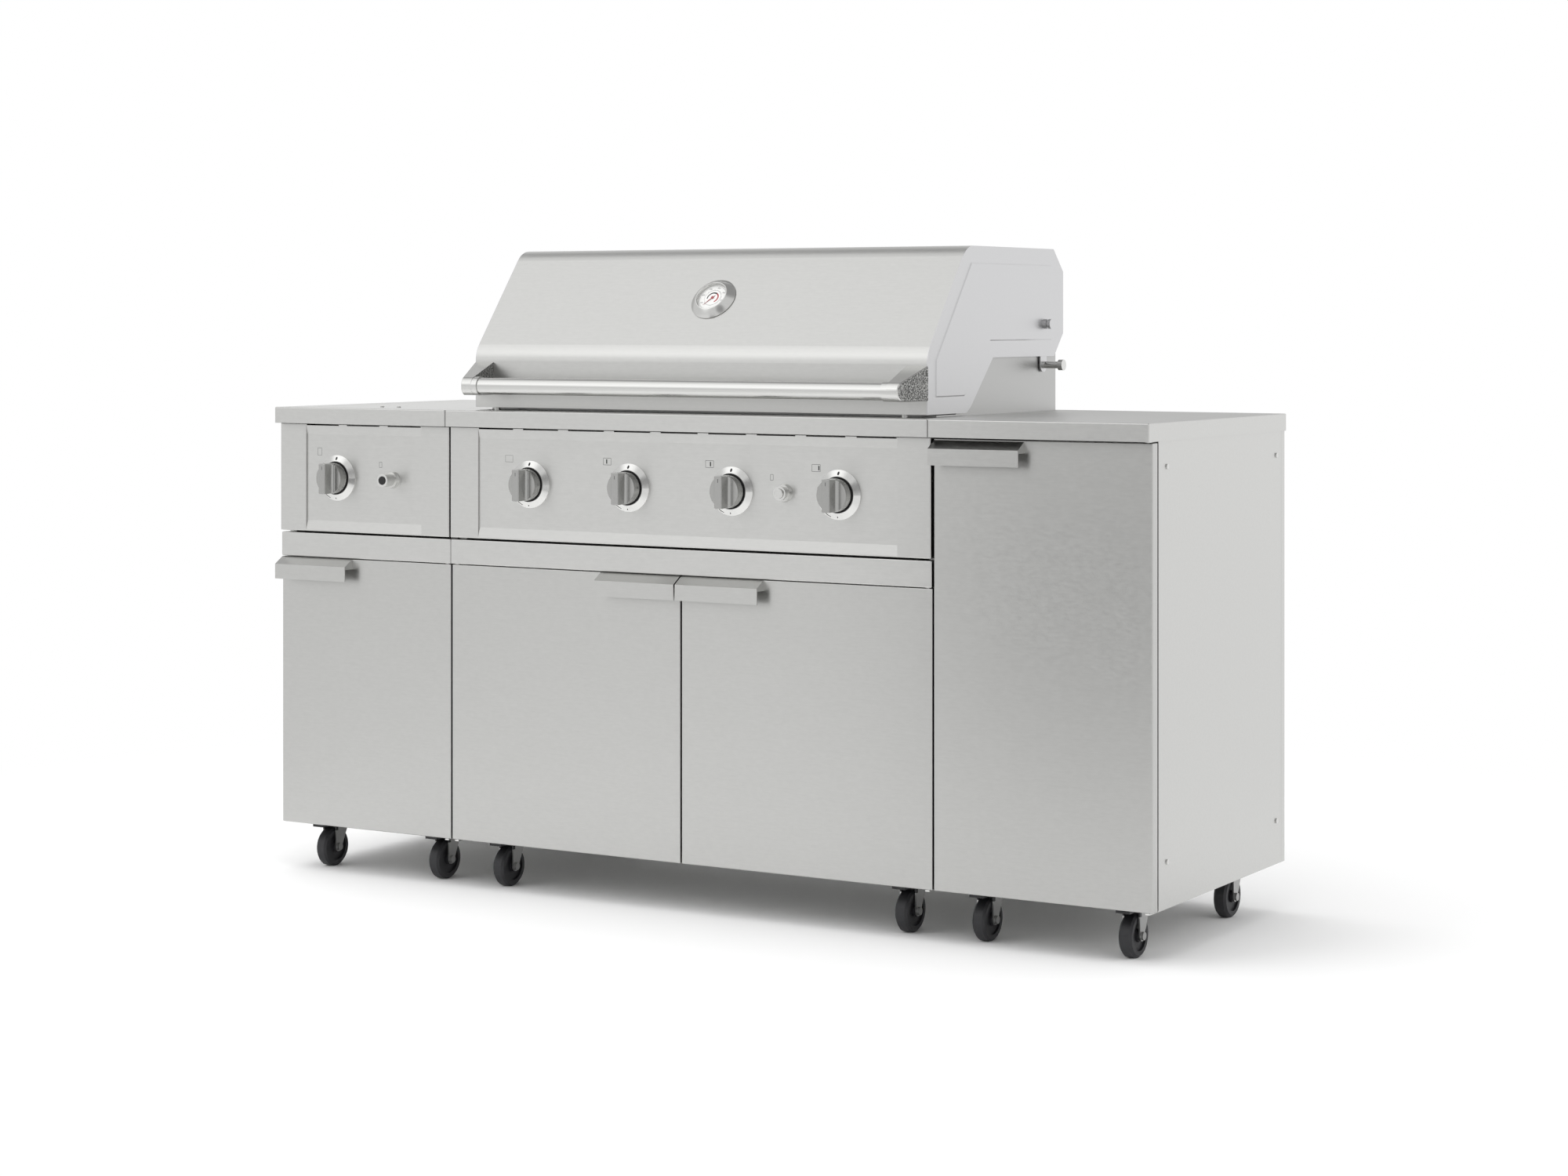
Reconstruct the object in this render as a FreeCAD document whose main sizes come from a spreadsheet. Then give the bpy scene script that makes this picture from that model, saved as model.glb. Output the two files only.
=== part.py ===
import FreeCAD, Part
import math
import os
import re
import Sketcher
from FreeCAD import Rotation, Vector

# A stainless steel outdoor kitchen island on casters: a side burner cabinet on the left, a
# grill cabinet in the middle and a storage cabinet on the right. X runs to the right, Y to the
# back and Z up. The origin is on the ground, under the middle of the whole island.

SIZES = {
    # The island as a whole
    "worktop_height": 900,
    "worktop_depth": 610,
    "side_width": 412,
    "grill_width": 1026,
    "module_gap": 0.8,
    "gauge": 1.2,
    "fold_radius": 2,
    "fascia_height": 31,
    "side_overhang": 2.5,
    "back_overhang": 3,
    "seat_gap": 0.3,
    # Cabinets
    "cabinet_clearance": 90,
    "deck_height": 100,
    "flange": 16,
    "deck_edge": 11,
    "shelf_height": 430,
    "shelf_lip": 20,
    "screw_radius": 4.5,
    "screw_shank": 2.5,
    "screw_length": 8,
    "screw_head": 2,
    "screw_front": 79,
    "screw_back": 43,
    "screw_high": 74,
    "screw_low": 68,
    # Control panels and rails
    "frame_setback": 15,
    "panel_height": 209,
    "panel_inset": 66,
    "panel_recess": 3,
    "panel_lip": 2.5,
    "bevel_height": 18.5,
    "slot_length": 79,
    "slot_height": 4,
    "slot_margin": 1.5,
    "left_slots": 3,
    "grill_slots": 9,
    "rail_setback": 18,
    "rail_height": 46.5,
    "reveal": 3.5,
    "door_reveal": 1.3,
    # Doors
    "door_setback": 21,
    "door_thickness": 19,
    "door_gap": 4,
    "door_seam": 3,
    "door_drop": 2,
    "pivot_inset": 10,
    "pivot_depth": 5.5,
    "pivot_radius": 3.5,
    "pivot_reach": 9,
    "hinge_gap": 0.5,
    "hinge_leaf": 2.5,
    "hinge_leaf_half": 4.2,
    "hinge_leaf_seat": 12,
    "running_gap": 0.1,
    "pull_length": 172,
    "pull_reach": 23,
    "pull_drop": 14,
    "pull_lip": 28.5,
    "pull_foot": 19.3,
    "pull_gauge": 1.8,
    "tall_pull_start": 3,
    # Knobs, valves and igniters
    "knob_drop": 135.5,
    "knob_pitch": 219.6,
    "knob_radius": 29.5,
    "knob_height": 48,
    "knob_waist": 28,
    "knob_gap": 1,
    "knob_edge": 1.2,
    "grip_width": 15,
    "grip_root": 22,
    "grip_radius": 7,
    "stem_radius": 4,
    "stem_socket": 16,
    "stem_seat": 12,
    "left_knob_offset": 65,
    "left_igniter_offset": 70,
    "bezel_radius": 44,
    "bezel_rim": 1.5,
    "bezel_height": 7,
    "bezel_lip": 2.5,
    "bezel_gap": 1,
    "igniter_radius": 16.5,
    "igniter_rim": 2,
    "igniter_step": 8,
    "tube_radius": 12.5,
    "tube_reach": 34,
    "tube_button_radius": 8,
    "tube_button_proud": 1.5,
    "cone_ledge": 2,
    "cap_radius": 12.5,
    "cap_reach": 20,
    "cap_button_radius": 8.5,
    "cap_button_proud": 3.5,
    "button_travel": 3,
    "button_gap": 0.25,
    "button_edge": 0.8,
    "valve_front": 46,
    "valve_width": 24,
    "valve_length": 30,
    "valve_height": 26,
    "valve_boss_radius": 7,
    "valve_boss": 11,
    "nozzle_radius": 4,
    "nozzle_length": 14,
    "manifold_size": 20,
    "pipe_end": 40,
    "inlet_radius": 8,
    "inlet_length": 24,
    # Firebox, burners and grates
    "firebox_setback": 102,
    "firebox_reach": 580,
    "firebox_margin": 36,
    "firebox_depth": 200,
    "firebox_lip": 3,
    "firebox_rise": 118,
    "rise_start": 175,
    "rise_end": 295,
    "firebox_flange": 12,
    "ledge": 12,
    "drain_length": 600,
    "drain_width": 200,
    "burner_radius": 17,
    "neck_radius": 10,
    "neck_gap": 0.7,
    "neck_reach": 22,
    "neck_inside": 20,
    "burner_cone": 15,
    "burner_end_gap": 30,
    "tamer_rise": 103,
    "tamer_width": 150,
    "tamer_height": 34,
    "grate_drop": 36,
    "grate_height": 11,
    "grate_gap": 3,
    "grate_play": 1,
    "grate_frame": 12,
    "grate_bar": 8,
    "grate_slots": 12,
    "rack_rod": 4,
    "rack_wire": 2,
    "rack_front": 395,
    "rack_depth": 140,
    "rack_wires": 25,
    # Side burner
    "lid_width": 300,
    "lid_depth": 400,
    "lid_setback": 62,
    "lid_gap": 1.5,
    "lid_fold": 12,
    "lid_pivot_inset": 10,
    "lid_pivot_drop": 5,
    "lid_rod_radius": 2.5,
    "stud_radius": 4,
    "stud_height": 2,
    "stud_pitch": 40,
    "stud_offset": 10,
    "stud_setback": 25,
    "bowl_depth": 60,
    "bowl_flange": 14,
    "lid_rest": 14,
    "ring_radius": 48,
    "ring_height": 14,
    "ring_drop": 44,
    "trivet_drop": 16,
    "trivet_width": 230,
    "trivet_bar": 8,
    "trivet_height": 12,
    "trivet_leg": 10,
    # Hood
    "hood_margin": 28.5,
    "hood_clearance": 5,
    "hood_front": 57,
    "hood_shoulder": 110,
    "hood_slope_end": 207.5,
    "hood_slope_top": 302,
    "hood_top_end": 560,
    "hood_top": 302,
    "hood_rear": 601,
    "hood_rear_top": 260,
    "hood_rear_low": 145,
    "cheek_rear": 562,
    "cheek_rear_low": 102,
    "cheek_notch": 309,
    "cheek_foot": 205,
    "cheek_foot_rise": 11,
    "cheek_foot_run": 17,
    "shoulder_radius": 50,
    "crown_radius": 50,
    "corner_radius": 3,
    "cheek_gauge": 1.5,
    "emboss_inset": 30,
    "emboss": 1.5,
    "emboss_slope": 55,
    "hood_pivot_back": 520,
    "hood_pivot_rise": 86,
    "hood_pin_radius": 6.5,
    "hood_pin_reach": 37,
    "hood_pin_head_radius": 10.2,
    "hood_pin_head": 9,
    "hood_nut": 8,
    "strap_gauge": 2,
    "strap_width": 26,
    "strap_top": 176,
    "strap_round": 12,
    "thumb_nut_rise": 162,
    "thumb_nut_radius": 9.2,
    "thumb_nut_collar": 5.5,
    "thumb_nut_waist": 6,
    "thumb_nut_groove": 3,
    "bumper_radius": 6,
    "bumper_offset": 436,
    "bumper_setback": 62,
    # Hood handle
    "grip_tube_radius": 15.5,
    "grip_tube_wall": 1.5,
    "collar_radius": 17.5,
    "collar_length": 12,
    "grip_setback": 1.5,
    "grip_rise": 46.4,
    "bracket_inset": 21,
    "bracket_nose": 22,
    "bracket_top": 90,
    "bracket_nose_top": 12,
    "bracket_round": 17,
    "bracket_edge": 1.5,
    # Thermometer
    "gauge_back": 133,
    "gauge_radius": 44.5,
    "gauge_rim": 2.3,
    "gauge_height": 12.3,
    "dial_radius": 29.5,
    "dial_level": 5,
    "glass_level": 9,
    "glass_plate": 1,
    "needle_length": 22,
    "needle_tail": 7,
    "needle_width": 2,
    "needle_hub": 2.8,
    "needle_hub_height": 1.6,
    "needle_plate": 0.6,
    "needle_rest": 40,
    "probe_radius": 4.5,
    "probe_length": 40,
    # Grease tray
    "tray_length": 800,
    "tray_setback": 150,
    "tray_drop": 12,
    "tray_depth": 28,
    "tray_lip": 10,
    "runner_gap": 1,
    "tray_plate_margin": 8,
    "finger_room": 24,
    "finger_length": 90,
    "finger_height": 16,
    # Casters
    "wheel_radius": 37.5,
    "wheel_width": 24,
    "hub_width": 25,
    "hub_radius": 11,
    "rim_radius": 26,
    "rim_depth": 4,
    "tread_chamfer": 4,
    "axle_radius": 4,
    "axle_nut_radius": 7,
    "axle_nut": 4,
    "fork_inside": 27,
    "fork_gauge": 2.8,
    "fork_crown": 90.2,
    "fork_front": 9,
    "fork_back": 24,
    "fork_shoulder": 4,
    "fork_foot": 8.5,
    "trail": 29,
    "plate_length": 62,
    "plate_width": 50,
    "plate_gauge": 2.5,
    "race_radius": 19,
    "kingpin_radius": 4,
    "kingpin_head": 8,
    "kingpin_nut": 3,
    "swivel_gap": 0.3,
    "pedal_width": 26,
    "pedal_reach": 73,
    "pedal_start": 30,
    "pedal_height": 7,
    "side_caster_inset": 69,
    "grill_caster_inset": 82,
    "front_swivel": 121,
    "rear_swivel": 528,
}

PLACES = {
    "knob_reach": "knob_height - frame_setback - panel_recess",
    "front": "-(worktop_depth - knob_reach) / 2",
    "back": "front + worktop_depth",
    "seam_x": "grill_width / 2",
    "end_x": "seam_x + side_width",
    "left_middle": "-seam_x - side_width / 2",
    "under_top": "worktop_height - gauge",
    "fascia_bottom": "worktop_height - fascia_height",
    "panel_bottom": "fascia_bottom - panel_height",
    "rail_top": "panel_bottom - reveal",
    "rail_bottom": "rail_top - rail_height",
    "low_door_top": "rail_bottom - door_reveal",
    "tall_door_top": "fascia_bottom - door_drop",
    "door_bottom": "cabinet_clearance + hinge_gap",
    "frame_face": "front + frame_setback",
    "panel_face": "frame_face + panel_recess",
    "rail_face": "front + rail_setback",
    "door_face": "front + door_setback",
    "door_back": "door_face + door_thickness",
    "pivot_y": "door_face + pivot_depth",
    "cabinet_front": "door_back + door_gap",
    "cabinet_back": "back - back_overhang",
    "knob_level": "worktop_height - knob_drop",
    "firebox_front": "front + firebox_setback",
    "firebox_back": "front + firebox_reach",
    "firebox_half": "grill_width / 2 - firebox_margin",
    "firebox_floor": "worktop_height - firebox_depth",
    "tamer_level": "firebox_floor + tamer_rise",
    "grate_level": "worktop_height - grate_drop",
    "firebox_inner_depth": "firebox_back - firebox_front - 2 * gauge",
    "lid_front": "front + lid_setback",
    "lid_back": "lid_front + lid_depth",
    "bowl_floor": "under_top - bowl_depth",
    "ring_y": "lid_front + lid_depth / 2",
    "hood_half": "grill_width / 2 - hood_margin",
    "hood_pivot_y": "front + hood_pivot_back",
    "hood_pivot_z": "worktop_height + hood_pivot_rise",
    "grip_y": "front + grip_setback",
    "grip_z": "worktop_height + grip_rise",
    "grip_half": "hood_half - bracket_inset - bracket_nose",
    "slope_angle": "atan((hood_slope_top - hood_shoulder) / (hood_slope_end - hood_front))",
    "tray_top": "firebox_floor - tray_drop",
    "tray_back": "cabinet_back + seat_gap",
    "tray_start": "front + tray_setback",
    "gauge_y": "front + gauge_back",
    "gauge_z": "worktop_height + hood_shoulder + (gauge_back - hood_front) * tan(slope_angle)",
    "cheek_outside": "hood_half - emboss",
    "cheek_inside": "cheek_outside - cheek_gauge",
    "fork_ceiling": "fork_crown - fork_gauge",
    "manifold_y": "front + valve_front + valve_length / 2",
    "manifold_z": "knob_level - valve_height / 2 - manifold_size / 2",
    "grate_width": "(2 * firebox_half - 2 * gauge - 5 * grate_gap) / 4",
    "grate_window": "grate_width - 2 * grate_frame",
    "grate_slot": "(grate_window - (grate_slots - 1) * grate_bar) / grate_slots",
    "trivet_window": "trivet_width - 2 * trivet_bar",
}

doc = FreeCAD.newDocument("outdoor_kitchen_island")

sheet = doc.addObject("Spreadsheet::Sheet", "sizes")
for row, (name, value) in enumerate(SIZES.items(), 1):
    sheet.set(f"A{row}", name)
    sheet.set(f"B{row}", str(value))
    sheet.setAlias(f"B{row}", name)

places = doc.addObject("App::VarSet", "places")
for name in PLACES:
    places.addProperty("App::PropertyFloat", name, "Places")


def formula(text):
    """A formula whose names are found in the sheet or among the places."""

    def owned(match):
        word = match.group(0)
        if word in SIZES:
            return "sizes." + word
        if word in PLACES:
            return "places." + word
        return word

    return re.sub(r"[a-z_]+", owned, text)


def bind(thing, **formulas):
    for name, text in formulas.items():
        thing.setExpression(name.replace("__", "."), formula(text))


bind(places, **PLACES)
doc.recompute()

# Ways to turn a shape that is made along Z
UP = Rotation()
ALONG_X = Rotation(Vector(0, 1, 0), 90)
ALONG_Y = Rotation(Vector(1, 0, 0), -90)


def put(thing, at):
    bind(thing, Placement__Base__x=at[0], Placement__Base__y=at[1], Placement__Base__z=at[2])
    return thing


def block(name, at, size):
    thing = doc.addObject("Part::Box", name)
    bind(thing, Length=size[0], Width=size[1], Height=size[2])
    return put(thing, at)


def rod(name, at, radius, length, turn=UP):
    thing = doc.addObject("Part::Cylinder", name)
    thing.Placement.Rotation = turn
    bind(thing, Radius=radius, Height=length)
    return put(thing, at)


def cut(name, base, *tools):
    thing = doc.addObject("Part::Cut", name)
    thing.Base = base
    thing.Tool = tools[0] if len(tools) == 1 else fuse(name + "_tools", *tools)
    return thing


def fuse(name, *pieces):
    thing = doc.addObject("Part::MultiFuse", name)
    thing.Shapes = list(pieces)
    return thing


def mirrored(name, source):
    """The same piece on the other side of the island's middle plane."""
    thing = doc.addObject("Part::Mirroring", name)
    thing.Source = source
    thing.Normal = Vector(1, 0, 0)
    return thing


def new_body(name, at):
    return put(doc.addObject("PartDesign::Body", name), at)


def new_sketch(body, name, plane, lift="0"):
    """A sketch on one of the body's own planes, lifted along the plane's normal."""
    thing = body.newObject("Sketcher::SketchObject", name)
    side = next(item for item in body.Origin.OriginFeatures if item.Role == plane)
    thing.AttachmentSupport = [(side, "")]
    thing.MapMode = "FlatFace"
    bind(thing, AttachmentOffset__Base__z=lift)
    return thing


def outline(sketch, corners):
    """A closed outline. Each corner is held at its own distances from the sketch's origin."""
    total = len(corners)
    first = sketch.GeometryCount
    turn = 2 * math.pi / total
    start = [Vector(math.cos(i * turn), math.sin(i * turn), 0) for i in range(total)]
    lines = [Part.LineSegment(start[i], start[(i + 1) % total]) for i in range(total)]
    sketch.addGeometry(lines, False)
    for i in range(total):
        following = first + (i + 1) % total
        sketch.addConstraint(Sketcher.Constraint("Coincident", first + i, 2, following, 1))
    for i, (across, up) in enumerate(corners):
        for kind, text in (("DistanceX", across), ("DistanceY", up)):
            held = Sketcher.Constraint(kind, -1, 1, first + i, 1, 1.0)
            number = sketch.addConstraint(held)
            sketch.setExpression(f"Constraints[{number}]", formula(text))
    return sketch


def rectangle(sketch, low, high):
    return outline(
        sketch,
        [(low[0], low[1]), (high[0], low[1]), (high[0], high[1]), (low[0], high[1])],
    )


def circle(sketch, centre, radius):
    number = sketch.addGeometry(Part.Circle(Vector(0, 0, 0), Vector(0, 0, 1), 1), False)
    held = (
        ("DistanceX", (-1, 1, number, 3, 1.0), centre[0]),
        ("DistanceY", (-1, 1, number, 3, 1.0), centre[1]),
        ("Radius", (number, 1.0), radius),
    )
    for kind, ends, text in held:
        index = sketch.addConstraint(Sketcher.Constraint(kind, *ends))
        sketch.setExpression(f"Constraints[{index}]", formula(text))
    return sketch


def swept(kind, body, profile, length, away=False, both=False):
    """A pad or pocket of a sketch, as long as a formula says."""
    thing = body.newObject("PartDesign::" + kind, profile.Name + "_" + kind.lower())
    thing.Profile = profile
    thing.Reversed = away
    if both:
        thing.SideType = "Symmetric"
    bind(thing, Length=length)
    return thing


def pad(body, profile, length, away=False, both=False):
    return swept("Pad", body, profile, length, away, both)


def pocket(body, profile, length, away=False, both=False):
    """A pocket. It has to take something away, or its direction is wrong."""
    doc.recompute()
    before = body.Shape.Volume
    thing = swept("Pocket", body, profile, length, away, both)
    doc.recompute()
    if not body.Shape.Volume < before:
        raise ValueError(f"{profile.Name} cuts nothing")
    return thing


def turned(body, profile, axis):
    """A full turn of a sketch about one of its own axes."""
    thing = body.newObject("PartDesign::Revolution", profile.Name + "_turned")
    thing.Profile = profile
    thing.ReferenceAxis = (profile, [axis])
    thing.Angle = 360
    return thing


def chosen(shapes, word, test):
    return [f"{word}{i}" for i, shape in enumerate(shapes, 1) if test(shape)]


def rounded(body, radius, test, kind="Fillet"):
    """Rounds, or chamfers, the edges of the body's last feature that pass the test."""
    doc.recompute()
    base = body.Tip
    thing = body.newObject("PartDesign::" + kind, f"{body.Name}_{kind.lower()}")
    thing.Base = (base, chosen(base.Shape.Edges, "Edge", test))
    if kind == "Fillet":
        bind(thing, Radius=radius)
    else:
        bind(thing, Size=radius)
    return thing


def hollowed(body, thickness, test):
    """Leaves a wall behind every face but those that pass the test."""
    doc.recompute()
    base = body.Tip
    thing = body.newObject("PartDesign::Thickness", body.Name + "_walls")
    thing.Base = (base, chosen(base.Shape.Faces, "Face", test))
    thing.Reversed = True
    bind(thing, Value=thickness)
    return thing


def repeated(body, feature, sketch, axis, length, total):
    """Copies of a feature in a row, from the first to the last over the given length."""
    thing = body.newObject("PartDesign::LinearPattern", feature.Name + "_row")
    thing.Originals = [feature]
    thing.Direction = (sketch, [axis])
    bind(thing, Length=length, Occurrences=total)
    body.Tip = thing
    return thing


def near(value, wanted):
    return abs(value - wanted) < 1e-3


def runs_along(edge, axis):
    ends = [vertex.Point for vertex in edge.Vertexes]
    if len(ends) < 2:
        return False
    step = ends[1] - ends[0]
    others = [getattr(step, letter) for letter in "xyz" if letter != axis]
    return max(abs(item) for item in others) < 1e-3


def folded_tray(name, at, size, opening):
    """A sheet folded on five sides, with soft folds and one open side: under or back."""
    body = new_body(name, at)
    plan = rectangle(new_sketch(body, name + "_plan", "XY_Plane"), ("0", "0"), size[:2])
    pad(body, plan, size[2])
    doc.recompute()
    room = body.Tip.Shape.BoundBox
    if opening == "under":
        rounded(body, "fold_radius", lambda edge: edge.CenterOfMass.z > room.ZMin + 1e-3)
        hollowed(body, "gauge", lambda face: near(face.CenterOfMass.z, room.ZMin))
    else:
        rounded(body, "fold_radius", lambda edge: edge.CenterOfMass.y < room.YMax - 1e-3)
        hollowed(body, "gauge", lambda face: near(face.CenterOfMass.y, room.YMax))
    return body


NODES = {}


def node(name, *pieces):
    """One named sub-part: a single piece, or several separate solids kept together."""
    if len(pieces) == 1:
        thing = pieces[0]
    else:
        thing = doc.addObject("Part::Compound", name)
        thing.Links = list(pieces)
    thing.Label = name
    NODES[name] = thing
    return thing


# The three worktops: folded trays with a front fascia, open underneath

MODULES = {
    "left": ("-end_x", "-seam_x - module_gap / 2"),
    "centre": ("-seam_x + module_gap / 2", "seam_x - module_gap / 2"),
    "right": ("seam_x + module_gap / 2", "end_x"),
}


def worktop(name, module):
    start, end = MODULES[module]
    size = (f"{end} - ({start})", "worktop_depth", "fascia_height")
    return folded_tray(name, (start, "front", "fascia_bottom"), size, "under")


lid_cutout = block(
    "lid_cutout",
    ("left_middle - lid_width / 2 - lid_gap", "lid_front - lid_gap", "under_top - 1"),
    ("lid_width + 2 * lid_gap", "lid_depth + 2 * lid_gap", "gauge + 2"),
)
node("left_worktop", cut("left_top", worktop("left_top_sheet", "left"), lid_cutout))
node("right_worktop", worktop("right_top_sheet", "right"))

firebox_cutout = block(
    "firebox_cutout",
    ("-firebox_half - seat_gap", "firebox_front - seat_gap", "under_top - 1"),
    (
        "2 * firebox_half + 2 * seat_gap",
        "firebox_back - firebox_front + 2 * seat_gap",
        "gauge + 2",
    ),
)


def hood_bumper(name, sign):
    """A short stud that the front edge of the closed hood rests over."""
    at = (f"{sign} * bumper_offset", "front + bumper_setback", "worktop_height")
    return rod(name, at, "bumper_radius", "hood_clearance - seat_gap")


node(
    "grill_surround",
    cut("surround_top", worktop("surround_sheet", "centre"), firebox_cutout),
    hood_bumper("left_bumper", -1),
    hood_bumper("right_bumper", 1),
)

# The cabinets: two side panels, a back panel, and a deck that the casters are bolted under


def cabinet_ends(module):
    start, end = MODULES[module]
    return f"({start} + side_overhang)", f"({end} - side_overhang)"


def side_panel(name, face, inward):
    """A side sheet, folded inward along its front edge. The face is its outer side."""
    tall = "under_top - cabinet_clearance"
    deep = "cabinet_back - flange - seat_gap - cabinet_front"
    start, hollow_start = (face, f"{face} + gauge")
    if inward < 0:
        start, hollow_start = (f"{face} - flange", f"{face} - flange - gauge")
    sheet_metal = block(
        name + "_blank", (start, "cabinet_front", "cabinet_clearance"), ("flange", deep, tall)
    )
    hollow = block(
        name + "_hollow",
        (hollow_start, "cabinet_front + gauge", "cabinet_clearance - 1"),
        ("flange", deep, f"{tall} + 2"),
    )
    return sheet_metal, hollow


def pipe_hole(name, face):
    """The hole for the gas pipe that runs from the grill to the side burner."""
    half = "(manifold_size / 2 + seat_gap)"
    at = (f"{face} - 2 * flange", f"manifold_y - {half}", f"manifold_z - {half}")
    return block(name, at, ("4 * flange", f"2 * {half}", f"2 * {half}"))


def back_panel(name, start, end):
    """The back sheet. Its folded edges run forward, flush with the side panels."""
    tall = "under_top - cabinet_clearance"
    wide = f"{end} - {start}"
    sheet_metal = block(
        name + "_blank", (start, "cabinet_back - flange", "cabinet_clearance"), (wide, "flange", tall)
    )
    hollow = block(
        name + "_hollow",
        (f"{start} + gauge", "cabinet_back - flange - gauge", "cabinet_clearance - 1"),
        (f"{wide} - 2 * gauge", "flange", f"{tall} + 2"),
    )
    return sheet_metal, hollow


def deck(name, start, end):
    """The cabinet's floor, folded down along its front and back edges."""
    wide = f"{end} - {start} - 2 * gauge"
    deep = "cabinet_back - cabinet_front - 2 * gauge"
    low = "deck_height + gauge - deck_edge"
    sheet_metal = block(
        name + "_blank", (f"{start} + gauge", "cabinet_front + gauge", low), (wide, deep, "deck_edge")
    )
    hollow = block(
        name + "_hollow",
        (start, "cabinet_front + 2 * gauge", "deck_height - deck_edge"),
        (f"{end} - {start}", f"{deep} - 2 * gauge", "deck_edge"),
    )
    return cut(name, sheet_metal, hollow)


def cabinet(module, *extras, left_holes=(), right_holes=(), back_holes=()):
    start, end = cabinet_ends(module)
    sides = (
        cut(f"{module}_near_side", *side_panel(f"{module}_near_side", start, 1), *left_holes),
        cut(f"{module}_far_side", *side_panel(f"{module}_far_side", end, -1), *right_holes),
        cut(f"{module}_back", *back_panel(f"{module}_back", start, end), *back_holes),
        deck(f"{module}_deck", start, end),
    )
    return node(f"{module}_cabinet", *sides, *extras)


def rail(name, start, end):
    """The cross rail between the control panel and the doors."""
    size = (f"{end} - ({start})", "cabinet_front - rail_face", "rail_height")
    return folded_tray(name, (start, "rail_face", "rail_bottom"), size, "back")


tray_half = "(tray_length / 2)"
tray_slot = block(
    "tray_slot",
    (
        f"-{tray_half} - tray_lip - 2 * runner_gap",
        "cabinet_back - 2 * gauge",
        "tray_top - tray_depth - 2 * runner_gap",
    ),
    (
        "tray_length + 2 * tray_lip + 4 * runner_gap",
        "4 * gauge",
        "tray_depth + 4 * runner_gap",
    ),
)

SCREWS = [
    (along, up)
    for along in ("front + screw_front", "back - screw_back")
    for up in ("deck_height + screw_low", "worktop_height - screw_high")
]


def screw_holes(name, face):
    """The holes for the four screws on an outer side of the island."""
    return [
        rod(
            f"{name}_{i}",
            (f"{face} - flange / 2", along, up),
            "screw_shank + running_gap",
            "flange",
            ALONG_X,
        )
        for i, (along, up) in enumerate(SCREWS, 1)
    ]


right_start, right_end = cabinet_ends("right")
shelf_blank = block(
    "shelf_blank",
    (f"{right_start} + gauge", "cabinet_front + flange", "shelf_height + gauge - shelf_lip"),
    (
        f"{right_end} - {right_start} - 2 * gauge",
        "cabinet_back - cabinet_front - flange - gauge",
        "shelf_lip",
    ),
)
shelf_hollow = block(
    "shelf_hollow",
    (right_start, "cabinet_front + flange + gauge", "shelf_height - shelf_lip"),
    (f"{right_end} - {right_start}", "worktop_depth", "shelf_lip"),
)

cabinet(
    "left",
    rail("left_rail", "-end_x + side_overhang", "-seam_x - seat_gap / 2"),
    left_holes=screw_holes("left_screw_hole", cabinet_ends("left")[0]),
    right_holes=[pipe_hole("left_pipe_hole", cabinet_ends("left")[1])],
)
cabinet(
    "centre",
    rail("grill_rail", "-seam_x + seat_gap / 2", "seam_x - door_seam / 2"),
    left_holes=[pipe_hole("grill_pipe_hole", cabinet_ends("centre")[0])],
    back_holes=[tray_slot],
)
cabinet(
    "right",
    cut("shelf", shelf_blank, shelf_hollow),
    right_holes=screw_holes("right_screw_hole", right_end),
)

# The control panels: each is one folded sheet whose middle is pressed back between a bevelled
# top and bottom, with a row of vents along its upper edge and a hole for each stem

FRONTS = {
    "left": ("-end_x + side_overhang", "-seam_x - door_seam / 2"),
    "centre": ("-seam_x + door_seam / 2", "seam_x - door_seam / 2"),
    "right": ("seam_x + door_seam / 2", "end_x - side_overhang"),
}
KNOBS = {
    "side_burner_knob": "left_middle - left_knob_offset",
    "burner_knob_1": "-1.5 * knob_pitch",
    "burner_knob_2": "-0.5 * knob_pitch",
    "burner_knob_3": "0.5 * knob_pitch",
    "burner_knob_4": "1.5 * knob_pitch",
}
LEFT_IGNITER = "left_middle + left_igniter_offset"
GRILL_IGNITER = "knob_pitch"


def control_panel(name, module, slots, stems):
    start, end = FRONTS[module]
    low, high = MODULES[module]
    pressed_start = f"({low} + panel_inset - ({start}))"
    pressed_wide = f"({high} - ({low}) - 2 * panel_inset)"
    body = new_body(name + "_sheet", (start, "frame_face", "panel_bottom"))
    plan = rectangle(
        new_sketch(body, name + "_plan", "XY_Plane"),
        ("0", "0"),
        (f"{end} - ({start})", "cabinet_front - frame_face"),
    )
    pad(body, plan, "panel_height")
    doc.recompute()
    open_side = body.Tip.Shape.BoundBox.YMax
    rounded(body, "fold_radius", lambda edge: edge.CenterOfMass.y < open_side - 1e-3)
    pressed = outline(
        new_sketch(body, name + "_pressed", "YZ_Plane", pressed_start),
        [
            ("-1", "panel_lip"),
            ("0", "panel_lip"),
            ("panel_recess", "panel_lip + bevel_height"),
            ("panel_recess", "panel_height - panel_lip - bevel_height"),
            ("0", "panel_height - panel_lip"),
            ("-1", "panel_height - panel_lip"),
        ],
    )
    pocket(body, pressed, pressed_wide, away=True)
    hollowed(body, "gauge", lambda face: near(face.CenterOfMass.y, open_side))
    vent = rectangle(
        new_sketch(body, name + "_vent", "XZ_Plane"),
        (f"{pressed_start} + slot_margin", "panel_height - slot_height"),
        (f"{pressed_start} + slot_margin + slot_length", "panel_height + 1"),
    )
    first_vent = pocket(body, vent, "panel_recess + 2 * gauge")
    run = f"{pressed_wide} - 2 * slot_margin - slot_length"
    repeated(body, first_vent, vent, "H_Axis", run, slots)
    holes = new_sketch(body, name + "_holes", "XZ_Plane")
    for stem in stems:
        circle(holes, (f"{stem} - ({start})", "knob_level - panel_bottom"), "stem_radius + knob_gap")
    pocket(body, holes, "panel_recess + 2 * gauge")
    return node(name, body)


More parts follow.
